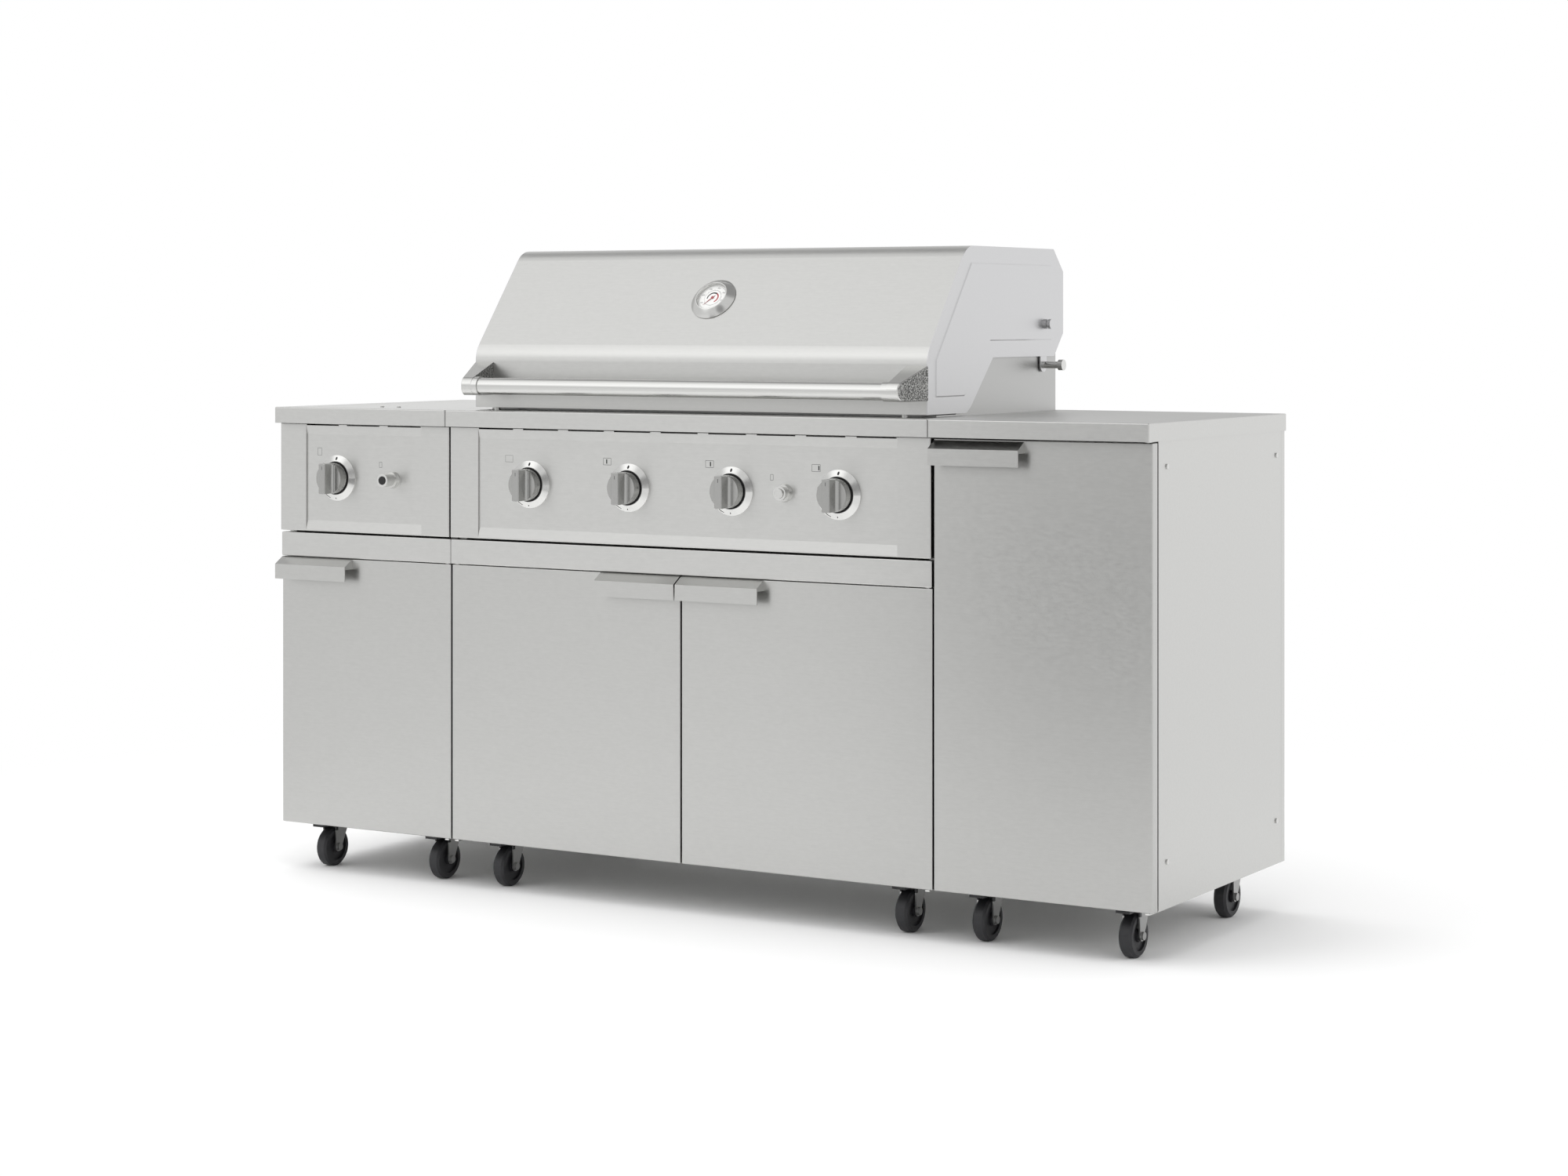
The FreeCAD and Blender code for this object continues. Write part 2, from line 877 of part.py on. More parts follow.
control_panel("left_control_panel", "left", "left_slots", [KNOBS["side_burner_knob"]])
control_panel(
    "grill_control_panel",
    "centre",
    "grill_slots",
    [place for name, place in KNOBS.items() if name.startswith("burner")],
)

# The bezels round the knobs and the two igniter housings, all turned parts


def turned_ring(name, at, corners):
    """A ring turned about Y. Each corner is a radius and a distance in front of the panel."""
    body = new_body(name, at)
    half = [(radius, f"-({out})") for radius, out in corners]
    turned(body, outline(new_sketch(body, name + "_half", "XY_Plane"), half), "V_Axis")
    return body


def bezel(name, place):
    return turned_ring(
        name,
        (place, "panel_face", "knob_level"),
        [
            ("knob_radius + bezel_gap", "0"),
            ("bezel_radius", "0"),
            ("bezel_radius", "bezel_rim"),
            ("knob_radius + bezel_gap + bezel_lip", "bezel_height"),
            ("knob_radius + bezel_gap", "bezel_height"),
        ],
    )


def igniter_housing(name, place, tube, reach, button):
    """A flared foot on the panel that carries the short tube round an igniter button."""
    return turned_ring(
        name,
        (place, "panel_face", "knob_level"),
        [
            (f"{button} + button_gap", "0"),
            ("igniter_radius", "0"),
            ("igniter_radius", "igniter_rim"),
            (f"{tube} + cone_ledge", "igniter_step"),
            (tube, "igniter_step"),
            (tube, reach),
            (f"{button} + button_gap", reach),
        ],
    )


node(
    "control_bezels",
    *[bezel(f"bezel_{name}", place) for name, place in KNOBS.items()],
    igniter_housing(
        "left_igniter_housing", LEFT_IGNITER, "tube_radius", "tube_reach", "tube_button_radius"
    ),
    igniter_housing(
        "grill_igniter_housing", GRILL_IGNITER, "cap_radius", "cap_reach", "cap_button_radius"
    ),
)


def knob(name, place):
    """A round knob with a grip bar across its front, on the stem that it turns."""
    body = new_body(name + "_cap", (place, "panel_face", "knob_level"))
    face = circle(new_sketch(body, name + "_face", "XZ_Plane", "knob_gap"), ("0", "0"), "knob_radius")
    pad(body, face, "knob_height - knob_gap")
    cheeks = new_sketch(body, name + "_grip", "XY_Plane")
    for sign in (1, -1):
        outline(
            cheeks,
            [
                (f"{sign} * grip_width / 2", "-knob_height - 1"),
                (f"{sign} * grip_root / 2", "-knob_waist"),
                (f"{sign} * (knob_radius + 1)", "-knob_waist"),
                (f"{sign} * (knob_radius + 1)", "-knob_height - 1"),
            ],
        )
    pocket(body, cheeks, "2 * knob_radius + 2", both=True)
    waist = -float(sheet.knob_waist)
    root = float(sheet.grip_root) / 2

    def in_the_corner(edge):
        middle = edge.CenterOfMass
        return runs_along(edge, "z") and near(middle.y, waist) and near(abs(middle.x), root)

    rounded(body, "grip_radius", in_the_corner)
    tip = -float(sheet.knob_height)
    rounded(body, "knob_edge", lambda edge: near(edge.CenterOfMass.y, tip))
    socket = circle(
        new_sketch(body, name + "_socket", "XZ_Plane", "knob_gap"), ("0", "0"), "stem_radius"
    )
    pocket(body, socket, "stem_socket", away=True)
    stem = rod(
        name + "_stem",
        (place, "panel_face - knob_gap - stem_socket", "knob_level"),
        "stem_radius",
        "front + valve_front + stem_seat - panel_face + knob_gap + stem_socket",
        ALONG_Y,
    )
    return node(name, body, stem)


for name, place in KNOBS.items():
    knob(name, place)


def button(name, place, radius, reach, proud):
    """An igniter button that slides into its housing."""
    at = (place, f"panel_face - {reach} - {proud}", "knob_level")
    body = new_body(name, at)
    face = circle(new_sketch(body, name + "_face", "XZ_Plane"), ("0", "0"), radius)
    pad(body, face, f"{reach} + {proud} - button_travel - knob_gap", away=True)
    rounded(body, "button_edge", lambda edge: near(edge.CenterOfMass.y, 0))
    return node(name, body)


button(
    "side_igniter_button", LEFT_IGNITER, "tube_button_radius", "tube_reach", "tube_button_proud"
)
button("grill_igniter_button", GRILL_IGNITER, "cap_button_radius", "cap_reach", "cap_button_proud")

# The gas manifold: a square pipe along all the knobs, with a valve on top of it for each


def valve(name, place):
    level = "knob_level"
    housing = block(
        name + "_housing",
        (f"{place} - valve_width / 2", "front + valve_front", f"{level} - valve_height / 2"),
        ("valve_width", "valve_length", "valve_height"),
    )
    boss = rod(
        name + "_boss",
        (place, "front + valve_front - valve_boss", level),
        "valve_boss_radius",
        "valve_boss",
        ALONG_Y,
    )
    nozzle = rod(
        name + "_nozzle",
        (place, "front + valve_front + valve_length", level),
        "nozzle_radius",
        "nozzle_length",
        ALONG_Y,
    )
    bore = rod(
        name + "_bore",
        (place, "front + valve_front - valve_boss - 1", level),
        "stem_radius + running_gap",
        "valve_boss + stem_seat + 1 + knob_gap",
        ALONG_Y,
    )
    return cut(name, fuse(name + "_solid", housing, boss, nozzle), bore)


pipe_start = "(left_middle - left_knob_offset - pipe_end)"
pipe_length = f"(1.5 * knob_pitch + pipe_end - {pipe_start})"
pipe = block(
    "pipe_outside",
    (pipe_start, "manifold_y - manifold_size / 2", "manifold_z - manifold_size / 2"),
    (pipe_length, "manifold_size", "manifold_size"),
)
pipe_bore = block(
    "pipe_inside",
    (
        f"{pipe_start} + gauge",
        "manifold_y - manifold_size / 2 + gauge",
        "manifold_z - manifold_size / 2 + gauge",
    ),
    (pipe_length, "manifold_size - 2 * gauge", "manifold_size - 2 * gauge"),
)
inlet_at = (f"{pipe_start} + {pipe_length}", "manifold_y", "manifold_z")
inlet = fuse(
    "inlet_solid",
    rod("inlet_flange", inlet_at, "manifold_size / 2", "2 * gauge", ALONG_X),
    rod("inlet_nipple", inlet_at, "inlet_radius", "inlet_length", ALONG_X),
)
inlet_bore = rod("inlet_bore", inlet_at, "inlet_radius - 3 * gauge", "inlet_length + 1", ALONG_X)
node(
    "gas_manifold",
    cut("pipe", pipe, pipe_bore),
    cut("inlet", inlet, inlet_bore),
    *[valve(f"valve_{name}", place) for name, place in KNOBS.items()],
)

# The burners: four tubes in the firebox, and one ring on a bent tube for the side burner


def burner_tube(name, place):
    body = new_body(name, (place, "firebox_front", "knob_level"))
    far = "(firebox_inner_depth - burner_end_gap)"
    cone = "(neck_inside + burner_cone)"
    half = [
        ("neck_radius - gauge", "-neck_reach"),
        ("neck_radius", "-neck_reach"),
        ("neck_radius", "neck_inside"),
        ("burner_radius", cone),
        ("burner_radius", far),
        ("0", far),
        ("0", f"{far} - gauge"),
        ("burner_radius - gauge", f"{far} - gauge"),
        ("burner_radius - gauge", cone),
        ("neck_radius - gauge", "neck_inside"),
    ]
    turned(body, outline(new_sketch(body, name + "_half", "XY_Plane"), half), "V_Axis")
    return body


side_knob = KNOBS["side_burner_knob"]
ring_low = "worktop_height - ring_drop - ring_height"
feed_start = "(firebox_front - neck_reach)"
side_burner = fuse(
    "side_burner_ring",
    rod("ring_head", ("left_middle", "ring_y", ring_low), "ring_radius", "ring_height"),
    rod("ring_stem", ("left_middle", "ring_y", "knob_level"), "neck_radius", f"{ring_low} - knob_level"),
    rod(
        "ring_cross_tube",
        (side_knob, "ring_y", "knob_level"),
        "neck_radius",
        "left_knob_offset",
        ALONG_X,
    ),
    rod(
        "ring_feed",
        (side_knob, feed_start, "knob_level"),
        "neck_radius",
        f"ring_y - {feed_start}",
        ALONG_Y,
    ),
)
feed_bore = rod(
    "feed_bore",
    (side_knob, f"{feed_start} - 1", "knob_level"),
    "neck_radius - gauge",
    f"ring_y - {feed_start}",
    ALONG_Y,
)
GRILL_STEMS = [place for name, place in KNOBS.items() if name.startswith("burner")]
node(
    "burners",
    *[burner_tube(f"burner_tube_{i}", place) for i, place in enumerate(GRILL_STEMS, 1)],
    cut("side_burner", side_burner, feed_bore),
)

# The firebox: an open steel box let down through the surround, with a high back and sides

firebox_body = new_body("firebox_sheet", ("0", "firebox_front", "firebox_floor"))
box_depth = "(firebox_back - firebox_front)"
firebox_side = outline(
    new_sketch(firebox_body, "firebox_side", "YZ_Plane"),
    [
        ("0", "0"),
        (box_depth, "0"),
        (box_depth, "firebox_depth + firebox_rise"),
        ("rise_end - firebox_setback", "firebox_depth + firebox_rise"),
        ("rise_start - firebox_setback", "firebox_depth + firebox_lip"),
        ("0", "firebox_depth + firebox_lip"),
    ],
)
pad(firebox_body, firebox_side, "2 * firebox_half", both=True)
hollowed(firebox_body, "gauge", lambda face: face.normalAt(0, 0).z > 0.1)
firebox_holes = [
    rod(
        f"burner_hole_{i}",
        (place, "firebox_front - 1", "knob_level"),
        "neck_radius + neck_gap",
        "gauge + 2",
        ALONG_Y,
    )
    for i, place in enumerate(GRILL_STEMS, 1)
]
drain = block(
    "drain_hole",
    (
        "-drain_length / 2",
        f"firebox_front + {box_depth} / 2 - drain_width / 2",
        "firebox_floor - 1",
    ),
    ("drain_length", "drain_width", "gauge + 2"),
)
hinge_holes = rod(
    "hood_hinge_holes",
    ("-firebox_half - 1", "hood_pivot_y", "hood_pivot_z"),
    "hood_pin_radius + running_gap",
    "2 * firebox_half + 2",
    ALONG_X,
)
flange_ring = cut(
    "firebox_flange_ring",
    block(
        "flange_outside",
        (
            "-firebox_half - firebox_flange",
            "firebox_front - firebox_flange",
            "under_top - gauge",
        ),
        (
            "2 * firebox_half + 2 * firebox_flange",
            f"{box_depth} + 2 * firebox_flange",
            "gauge",
        ),
    ),
    block(
        "flange_inside",
        ("-firebox_half", "firebox_front", "under_top - 2 * gauge"),
        ("2 * firebox_half", box_depth, "3 * gauge"),
    ),
)


def ledge_angle(name, start, level):
    """A strip inside the firebox that the grates or the flame tamers rest on."""
    at = ("-firebox_half + gauge", start, f"{level} - gauge")
    return block(name, at, ("2 * firebox_half - 2 * gauge", "ledge", "gauge"))


def tray_runner(name, sign):
    """An angle under the firebox that carries one lip of the grease tray."""
    foot_inside = f"{tray_half} + runner_gap"
    foot_outside = f"{tray_half} + tray_lip + runner_gap + gauge"
    foot_low = "tray_top - 2 * gauge - seat_gap"
    foot_length = f"({foot_outside}) - ({foot_inside})"
    foot_start = foot_inside if sign > 0 else f"-({foot_outside})"
    web_start = f"{foot_outside} - gauge" if sign > 0 else f"-({foot_outside})"
    deep = "cabinet_back - gauge - seat_gap - tray_start"
    foot = block(name + "_foot", (foot_start, "tray_start", foot_low), (foot_length, deep, "gauge"))
    web = block(
        name + "_web",
        (web_start, "tray_start", foot_low),
        ("gauge", deep, f"firebox_floor - ({foot_low})"),
    )
    return fuse(name, foot, web)


front_ledge = "firebox_front + gauge"
back_ledge = "firebox_back - gauge - ledge"
node(
    "firebox",
    cut("firebox_shell", firebox_body, *firebox_holes, drain, hinge_holes),
    flange_ring,
    ledge_angle("front_tamer_ledge", front_ledge, "tamer_level"),
    ledge_angle("back_tamer_ledge", back_ledge, "tamer_level"),
    ledge_angle("front_grate_ledge", front_ledge, "grate_level"),
    ledge_angle("back_grate_ledge", back_ledge, "grate_level"),
    tray_runner("left_tray_runner", -1),
    tray_runner("right_tray_runner", 1),
)


def flame_tamer(name, place):
    """A bent sheet like a roof over one burner tube."""
    body = new_body(name, (place, "firebox_front + gauge + grate_play", "tamer_level"))
    roof = outline(
        new_sketch(body, name + "_roof", "XZ_Plane"),
        [
            ("-tamer_width / 2", "0"),
            ("0", "tamer_height"),
            ("tamer_width / 2", "0"),
            ("tamer_width / 2 - 3 * gauge", "0"),
            ("0", "tamer_height - 1.5 * gauge"),
            ("3 * gauge - tamer_width / 2", "0"),
        ],
    )
    pad(body, roof, "firebox_inner_depth - 2 * grate_play", away=True)
    return body


node(
    "flame_tamers",
    *[flame_tamer(f"flame_tamer_{i}", place) for i, place in enumerate(GRILL_STEMS, 1)],
)


def cooking_grate(name, place):
    """A cast iron grate: a frame, with bars from front to back."""
    body = new_body(
        name,
        (
            f"-firebox_half + gauge + grate_gap + {place} * (grate_width + grate_gap)",
            "firebox_front + gauge + grate_play",
            "grate_level",
        ),
    )
    deep = "(firebox_inner_depth - 2 * grate_play)"
    plan = rectangle(new_sketch(body, name + "_plan", "XY_Plane"), ("0", "0"), ("grate_width", deep))
    pad(body, plan, "grate_height")
    gap = rectangle(
        new_sketch(body, name + "_gap", "XY_Plane", "grate_height"),
        ("grate_frame", "grate_frame"),
        ("grate_frame + grate_slot", f"{deep} - grate_frame"),
    )
    first = pocket(body, gap, "grate_height + 1")
    repeated(body, first, gap, "H_Axis", "grate_window - grate_slot", "grate_slots")
    return body


grates = [cooking_grate(f"grate_{i + 1}", i) for i in range(4)]

# The warming rack: two rods across the firebox, resting on its sides, with wires between them

rack_level = "worktop_height + firebox_rise + rack_rod"
rack_half = "(firebox_half + gauge)"


def rack_rail(name, back_by):
    at = (f"-{rack_half}", f"front + rack_front + {back_by}", rack_level)
    return rod(name, at, "rack_rod", f"2 * {rack_half}", ALONG_X)


def rack_wire(index):
    """One of the wires from front to back, evenly spaced along the rack."""
    spacing = "(2 * firebox_half - 8 * rack_rod) / (rack_wires - 1)"
    at = (
        f"-firebox_half + 4 * rack_rod + {index} * {spacing}",
        "front + rack_front",
        f"{rack_level} + rack_rod - rack_wire",
    )
    return rod(f"rack_wire_{index}", at, "rack_wire", "rack_depth", ALONG_Y)


rack_wires = [rack_wire(index) for index in range(SIZES["rack_wires"])]
node(
    "warming_rack",
    fuse("rack", rack_rail("rack_front_rod", "0"), rack_rail("rack_back_rod", "rack_depth"), *rack_wires),
)

# The side burner: a bowl hung under the worktop, a trivet, and a flush lid on a rod hinge

bowl_left = "left_middle - lid_width / 2 - lid_gap"
bowl_front = "(lid_front - lid_gap)"
bowl_wide = "(lid_width + 2 * lid_gap)"
bowl_long = "(lid_depth + 2 * lid_gap)"
lid_axis = ("lid_back - lid_pivot_inset", "worktop_height - lid_pivot_drop")
bowl_shell = block(
    "bowl_outside",
    (f"{bowl_left} - gauge", f"{bowl_front} - gauge", "bowl_floor"),
    (f"{bowl_wide} + 2 * gauge", f"{bowl_long} + 2 * gauge", "bowl_depth"),
)
bowl_rim = block(
    "bowl_rim",
    (f"{bowl_left} - bowl_flange", f"{bowl_front} - bowl_flange", "under_top - gauge"),
    (f"{bowl_wide} + 2 * bowl_flange", f"{bowl_long} + 2 * bowl_flange", "gauge"),
)
bowl_room = block(
    "bowl_inside",
    (bowl_left, bowl_front, "bowl_floor + gauge"),
    (bowl_wide, bowl_long, "bowl_depth"),
)
bowl_stem_hole = rod(
    "bowl_stem_hole",
    ("left_middle", "ring_y", "bowl_floor - 1"),
    "neck_radius + neck_gap",
    "gauge + 2",
)
bowl_pivot_holes = rod(
    "bowl_pivot_holes",
    (f"{bowl_left} - 2 * bowl_flange", *lid_axis),
    "lid_rod_radius + running_gap",
    f"{bowl_wide} + 4 * bowl_flange",
    ALONG_X,
)


def lid_rest(name, start):
    """A small block in a front corner of the bowl, just under the lid's folded edge."""
    at = (start, bowl_front, "worktop_height - lid_fold - seat_gap - lid_rest / 2")
    return block(name, at, ("lid_rest", "lid_rest", "lid_rest / 2"))


node(
    "side_burner_bowl",
    cut(
        "bowl",
        fuse("bowl_sheet", bowl_shell, bowl_rim),
        bowl_room,
        bowl_stem_hole,
        bowl_pivot_holes,
    ),
    lid_rest("left_lid_rest", bowl_left),
    lid_rest("right_lid_rest", f"{bowl_left} + {bowl_wide} - lid_rest"),
)

lid_sheet = folded_tray(
    "lid_sheet",
    ("left_middle - lid_width / 2", "lid_front", "worktop_height - lid_fold"),
    ("lid_width", "lid_depth", "lid_fold"),
    "under",
)
lid_hole = rod(
    "lid_hole",
    ("left_middle - lid_width", *lid_axis),
    "lid_rod_radius",
    "2 * lid_width",
    ALONG_X,
)
hinge_rod = rod(
    "lid_hinge_rod",
    (f"{bowl_left} - gauge - 1", *lid_axis),
    "lid_rod_radius",
    f"{bowl_wide} + 2 * gauge + 2",
    ALONG_X,
)


def lid_stud(name, sign):
    """One of the two low studs by which the lid is lifted."""
    across = f"left_middle + stud_offset + {sign} * stud_pitch / 2"
    at = (across, "lid_front + stud_setback", "worktop_height")
    return rod(name, at, "stud_radius", "stud_height")


node(
    "side_burner_lid",
    cut("lid", lid_sheet, lid_hole),
    hinge_rod,
    lid_stud("left_lid_stud", -1),
    lid_stud("right_lid_stud", 1),
)

trivet_low = "worktop_height - trivet_drop - trivet_height"
trivet_start = ("left_middle - trivet_width / 2", "ring_y - trivet_width / 2")
trivet_frame = cut(
    "trivet_frame",
    block(
        "trivet_outside",
        (*trivet_start, trivet_low),
        ("trivet_width", "trivet_width", "trivet_height"),
    ),
    block(
        "trivet_inside",
        (
            f"{trivet_start[0]} + trivet_bar",
            f"{trivet_start[1]} + trivet_bar",
            f"{trivet_low} - 1",
        ),
        ("trivet_window", "trivet_window", "trivet_height + 2"),
    ),
)
finger_reach = "(trivet_window / 3)"


def trivet_finger(name, start, size):
    return block(name, (*start, trivet_low), (*size, "trivet_height"))


fingers = [
    trivet_finger(
        "trivet_left_finger",
        (f"{trivet_start[0]}", "ring_y - trivet_bar / 2"),
        (f"{finger_reach} + trivet_bar", "trivet_bar"),
    ),
    trivet_finger(
        "trivet_right_finger",
        (f"left_middle + trivet_width / 2 - {finger_reach} - trivet_bar", "ring_y - trivet_bar / 2"),
        (f"{finger_reach} + trivet_bar", "trivet_bar"),
    ),
    trivet_finger(
        "trivet_front_finger",
        ("left_middle - trivet_bar / 2", f"{trivet_start[1]}"),
        ("trivet_bar", f"{finger_reach} + trivet_bar"),
    ),
    trivet_finger(
        "trivet_back_finger",
        ("left_middle - trivet_bar / 2", f"ring_y + trivet_width / 2 - {finger_reach} - trivet_bar"),
        ("trivet_bar", f"{finger_reach} + trivet_bar"),
    ),
]
legs = [
    block(
        f"trivet_leg_{i}",
        (
            f"left_middle + {across} * (trivet_width / 2) - trivet_leg / 2 - {across} * trivet_leg / 2",
            f"ring_y + {along} * (trivet_width / 2) - trivet_leg / 2 - {along} * trivet_leg / 2",
            "bowl_floor + gauge",
        ),
        ("trivet_leg", "trivet_leg", f"{trivet_low} - bowl_floor - gauge + trivet_bar"),
    )
    for i, (across, along) in enumerate(((-1, -1), (1, -1), (1, 1), (-1, 1)), 1)
]
node("cooking_grates", *grates, fuse("side_burner_trivet", trivet_frame, *fingers, *legs))

# The hood: a bent skin between two cheeks, hinged low at the back on two long pins

HOOD_FRONT = [
    ("hood_front", "hood_clearance"),
    ("hood_front", "hood_shoulder"),
    ("hood_slope_end", "hood_slope_top"),
    ("hood_top_end", "hood_top"),
    ("hood_rear", "hood_rear_top"),
]
SOFT_BENDS = (
    ("hood_front", "hood_shoulder", "shoulder_radius"),
    ("hood_slope_end", "hood_slope_top", "crown_radius"),
    ("hood_top_end", "hood_top", "corner_radius"),
    ("hood_rear", "hood_rear_top", "corner_radius"),
)


def round_bends(body):
    """Rounds the four bends that run from side to side over the hood."""
    for back_by, up, radius in SOFT_BENDS:
        middle = (float(getattr(sheet, back_by)), float(getattr(sheet, up)))

        def at_this_bend(edge, middle=middle):
            where = edge.CenterOfMass
            return runs_along(edge, "x") and near(where.y, middle[0]) and near(where.z, middle[1])

        rounded(body, radius, at_this_bend)


def hood_form(name, wide, last_corner):
    """The hood's solid form from the side, as wide as asked, with its bends rounded."""
    body = new_body(name, ("0", "front", "worktop_height"))
    side = outline(new_sketch(body, name + "_side", "YZ_Plane"), [*HOOD_FRONT, last_corner])
    pad(body, side, wide, both=True)
    round_bends(body)
    return body


def tilt(thing):
    """Turns a piece that is made along Z to stand square on the hood's slope."""
    thing.Placement.Rotation = Rotation(Vector(1, 0, 0), 45)
    bind(thing, Placement__Rotation__Angle="slope_angle")
    return thing


skin_body = hood_form("hood_skin_sheet", "2 * cheek_inside", ("hood_rear", "hood_rear_low"))
hollowed(
    skin_body,
    "gauge",
    lambda face: face.normalAt(0, 0).z < -0.1 or abs(face.normalAt(0, 0).x) > 0.9,
)
probe_hole = tilt(
    rod(
        "probe_hole",
        (
            "0",
            "gauge_y + probe_length * sin(slope_angle)",
            "gauge_z - probe_length * cos(slope_angle)",
        ),
        "probe_radius + running_gap",
        "2 * probe_length",
    )
)
node("hood_skin", cut("hood_skin_pierced", skin_body, probe_hole))


cheek_body = new_body("cheek_sheet", ("cheek_inside", "front", "worktop_height"))
cheek_side = outline(
    new_sketch(cheek_body, "cheek_side", "YZ_Plane"),
    [
        *HOOD_FRONT,
        ("hood_rear", "hood_rear_low"),
        ("cheek_rear", "cheek_rear_low"),
        ("cheek_notch", "cheek_rear_low"),
        ("cheek_foot + cheek_foot_run", "hood_clearance + cheek_foot_rise"),
        ("cheek_foot", "hood_clearance"),
    ],
)
pad(cheek_body, cheek_side, "cheek_gauge")
round_bends(cheek_body)

pressed_outline = doc.addObject("Part::Offset2D", "pressed_outline")
pressed_outline.Source = cheek_side
pressed_outline.Join = 2
bind(pressed_outline, Value="-emboss_inset")
pressed_panel = doc.addObject("Part::Extrusion", "pressed_panel")
pressed_panel.Base = pressed_outline
pressed_panel.DirMode = "Normal"
pressed_panel.Reversed = True
pressed_panel.Solid = True
bind(pressed_panel, LengthFwd="emboss", TaperAngle="-emboss_slope")
put(pressed_panel, ("cheek_outside", "front", "worktop_height"))

strap = new_body("hood_strap", ("cheek_inside - strap_gauge", "hood_pivot_y", "worktop_height"))
strap_side = rectangle(
    new_sketch(strap, "strap_side", "YZ_Plane"),
    ("-strap_width / 2", "hood_pivot_rise - strap_width / 2"),
    ("strap_width / 2", "strap_top"),
)
pad(strap, strap_side, "strap_gauge")
rounded(strap, "strap_round", lambda edge: runs_along(edge, "x"))
strap_hole = circle(
    new_sketch(strap, "strap_hole", "YZ_Plane", "strap_gauge"),
    ("0", "hood_pivot_rise"),
    "hood_pin_radius + running_gap",
)
pocket(strap, strap_hole, "2 * strap_gauge")


def thumb_nut(name):
    """A knurled nut with a groove round its middle, on the outside of the hood's cheek."""
    level = "worktop_height + thumb_nut_rise"
    inner = ("hood_half", "hood_pivot_y", level)
    groove = ("hood_half + thumb_nut_collar", "hood_pivot_y", level)
    outer = ("hood_half + thumb_nut_collar + thumb_nut_groove", "hood_pivot_y", level)
    return fuse(
        name,
        rod(name + "_foot", inner, "thumb_nut_radius", "thumb_nut_collar", ALONG_X),
        rod(name + "_groove", groove, "thumb_nut_waist", "thumb_nut_groove", ALONG_X),
        rod(name + "_head", outer, "thumb_nut_radius", "thumb_nut_collar", ALONG_X),
    )


right_side = [fuse("right_cheek", cheek_body, pressed_panel), strap, thumb_nut("right_thumb_nut")]
left_side = [mirrored(f"left_{piece.Name}", piece) for piece in right_side]
node("hood_cheeks", *right_side, *left_side)

# The hood's handle: a tube between two cast brackets, with a collar at each end

bracket = new_body(
    "right_bracket",
    ("hood_half - bracket_inset - bracket_nose", "front", "worktop_height"),
)
bracket_side = outline(
    new_sketch(bracket, "bracket_side", "YZ_Plane"),
    [
        ("hood_front", "grip_rise - collar_radius"),
        ("hood_front", "bracket_top"),
        ("grip_setback - collar_radius", "grip_rise + bracket_nose_top"),
        ("grip_setback - collar_radius", "grip_rise - collar_radius"),
    ],
)
pad(bracket, bracket_side, "bracket_nose + bracket_inset")
nose_y = float(sheet.grip_setback) - float(sheet.collar_radius)
rounded(
    bracket,
    "bracket_round",
    lambda edge: runs_along(edge, "x") and near(edge.CenterOfMass.y, nose_y),
)
taper = outline(
    new_sketch(bracket, "bracket_taper", "XY_Plane"),
    [
        ("bracket_nose", "grip_setback - collar_radius"),
        ("bracket_nose + bracket_inset", "hood_front"),
        ("bracket_nose + bracket_inset + 1", "hood_front"),
        ("bracket_nose + bracket_inset + 1", "-2 * collar_radius"),
        ("bracket_nose", "-2 * collar_radius"),
    ],
)
pocket(bracket, taper, "2 * bracket_top + 2", both=True)
bracket_root = float(sheet.hood_front)
flare = float(sheet.bracket_inset) / (bracket_root - nose_y)


def on_the_outer_face(edge):
    ends = [vertex.Point for vertex in edge.Vertexes]
    beside = all(near(end.x, float(sheet.bracket_nose) + flare * (end.y - nose_y)) for end in ends)
    return beside and not near(edge.CenterOfMass.y, bracket_root)


rounded(bracket, "bracket_edge", on_the_outer_face, "Chamfer")
grip = cut(
    "grip",
    fuse(
        "grip_solid",
        rod("grip_tube", ("-grip_half", "grip_y", "grip_z"), "grip_tube_radius", "2 * grip_half", ALONG_X),
        rod("left_collar", ("-grip_half", "grip_y", "grip_z"), "collar_radius", "collar_length", ALONG_X),
        rod(
            "right_collar",
            ("grip_half - collar_length", "grip_y", "grip_z"),
            "collar_radius",
            "collar_length",
            ALONG_X,
        ),
    ),
    rod(
        "grip_bore",
        ("-grip_half - 1", "grip_y", "grip_z"),
        "grip_tube_radius - grip_tube_wall",
        "2 * grip_half + 2",
        ALONG_X,
    ),
)
node("hood_handle", grip, bracket, mirrored("left_bracket", bracket))

# The hood's thermometer: a turned case with a probe through the hood, a glass and a needle


def on_the_slope(name, corners):
    """A piece turned about the thermometer's axis, square to the hood's slope."""
    body = tilt(new_body(name, ("0", "gauge_y", "gauge_z")))
    turned(body, outline(new_sketch(body, name + "_half", "XZ_Plane"), corners), "V_Axis")
    return body


thermometer_case = on_the_slope(
    "thermometer_case",
    [
        ("0", "-probe_length"),
        ("probe_radius", "-probe_length"),
        ("probe_radius", "0"),
        ("gauge_radius", "0"),
        ("gauge_radius", "gauge_rim"),
        ("dial_radius + cone_ledge", "gauge_height"),
        ("dial_radius", "gauge_height"),
        ("dial_radius", "dial_level"),
        ("0", "dial_level"),
    ],
)
thermometer_glass = on_the_slope(
    "thermometer_glass",
    [
        ("0", "glass_level"),
        ("dial_radius", "glass_level"),
        ("dial_radius", "glass_level + glass_plate"),
        ("0", "glass_level + glass_plate"),
    ],
)
node("thermometer", thermometer_case, thermometer_glass)

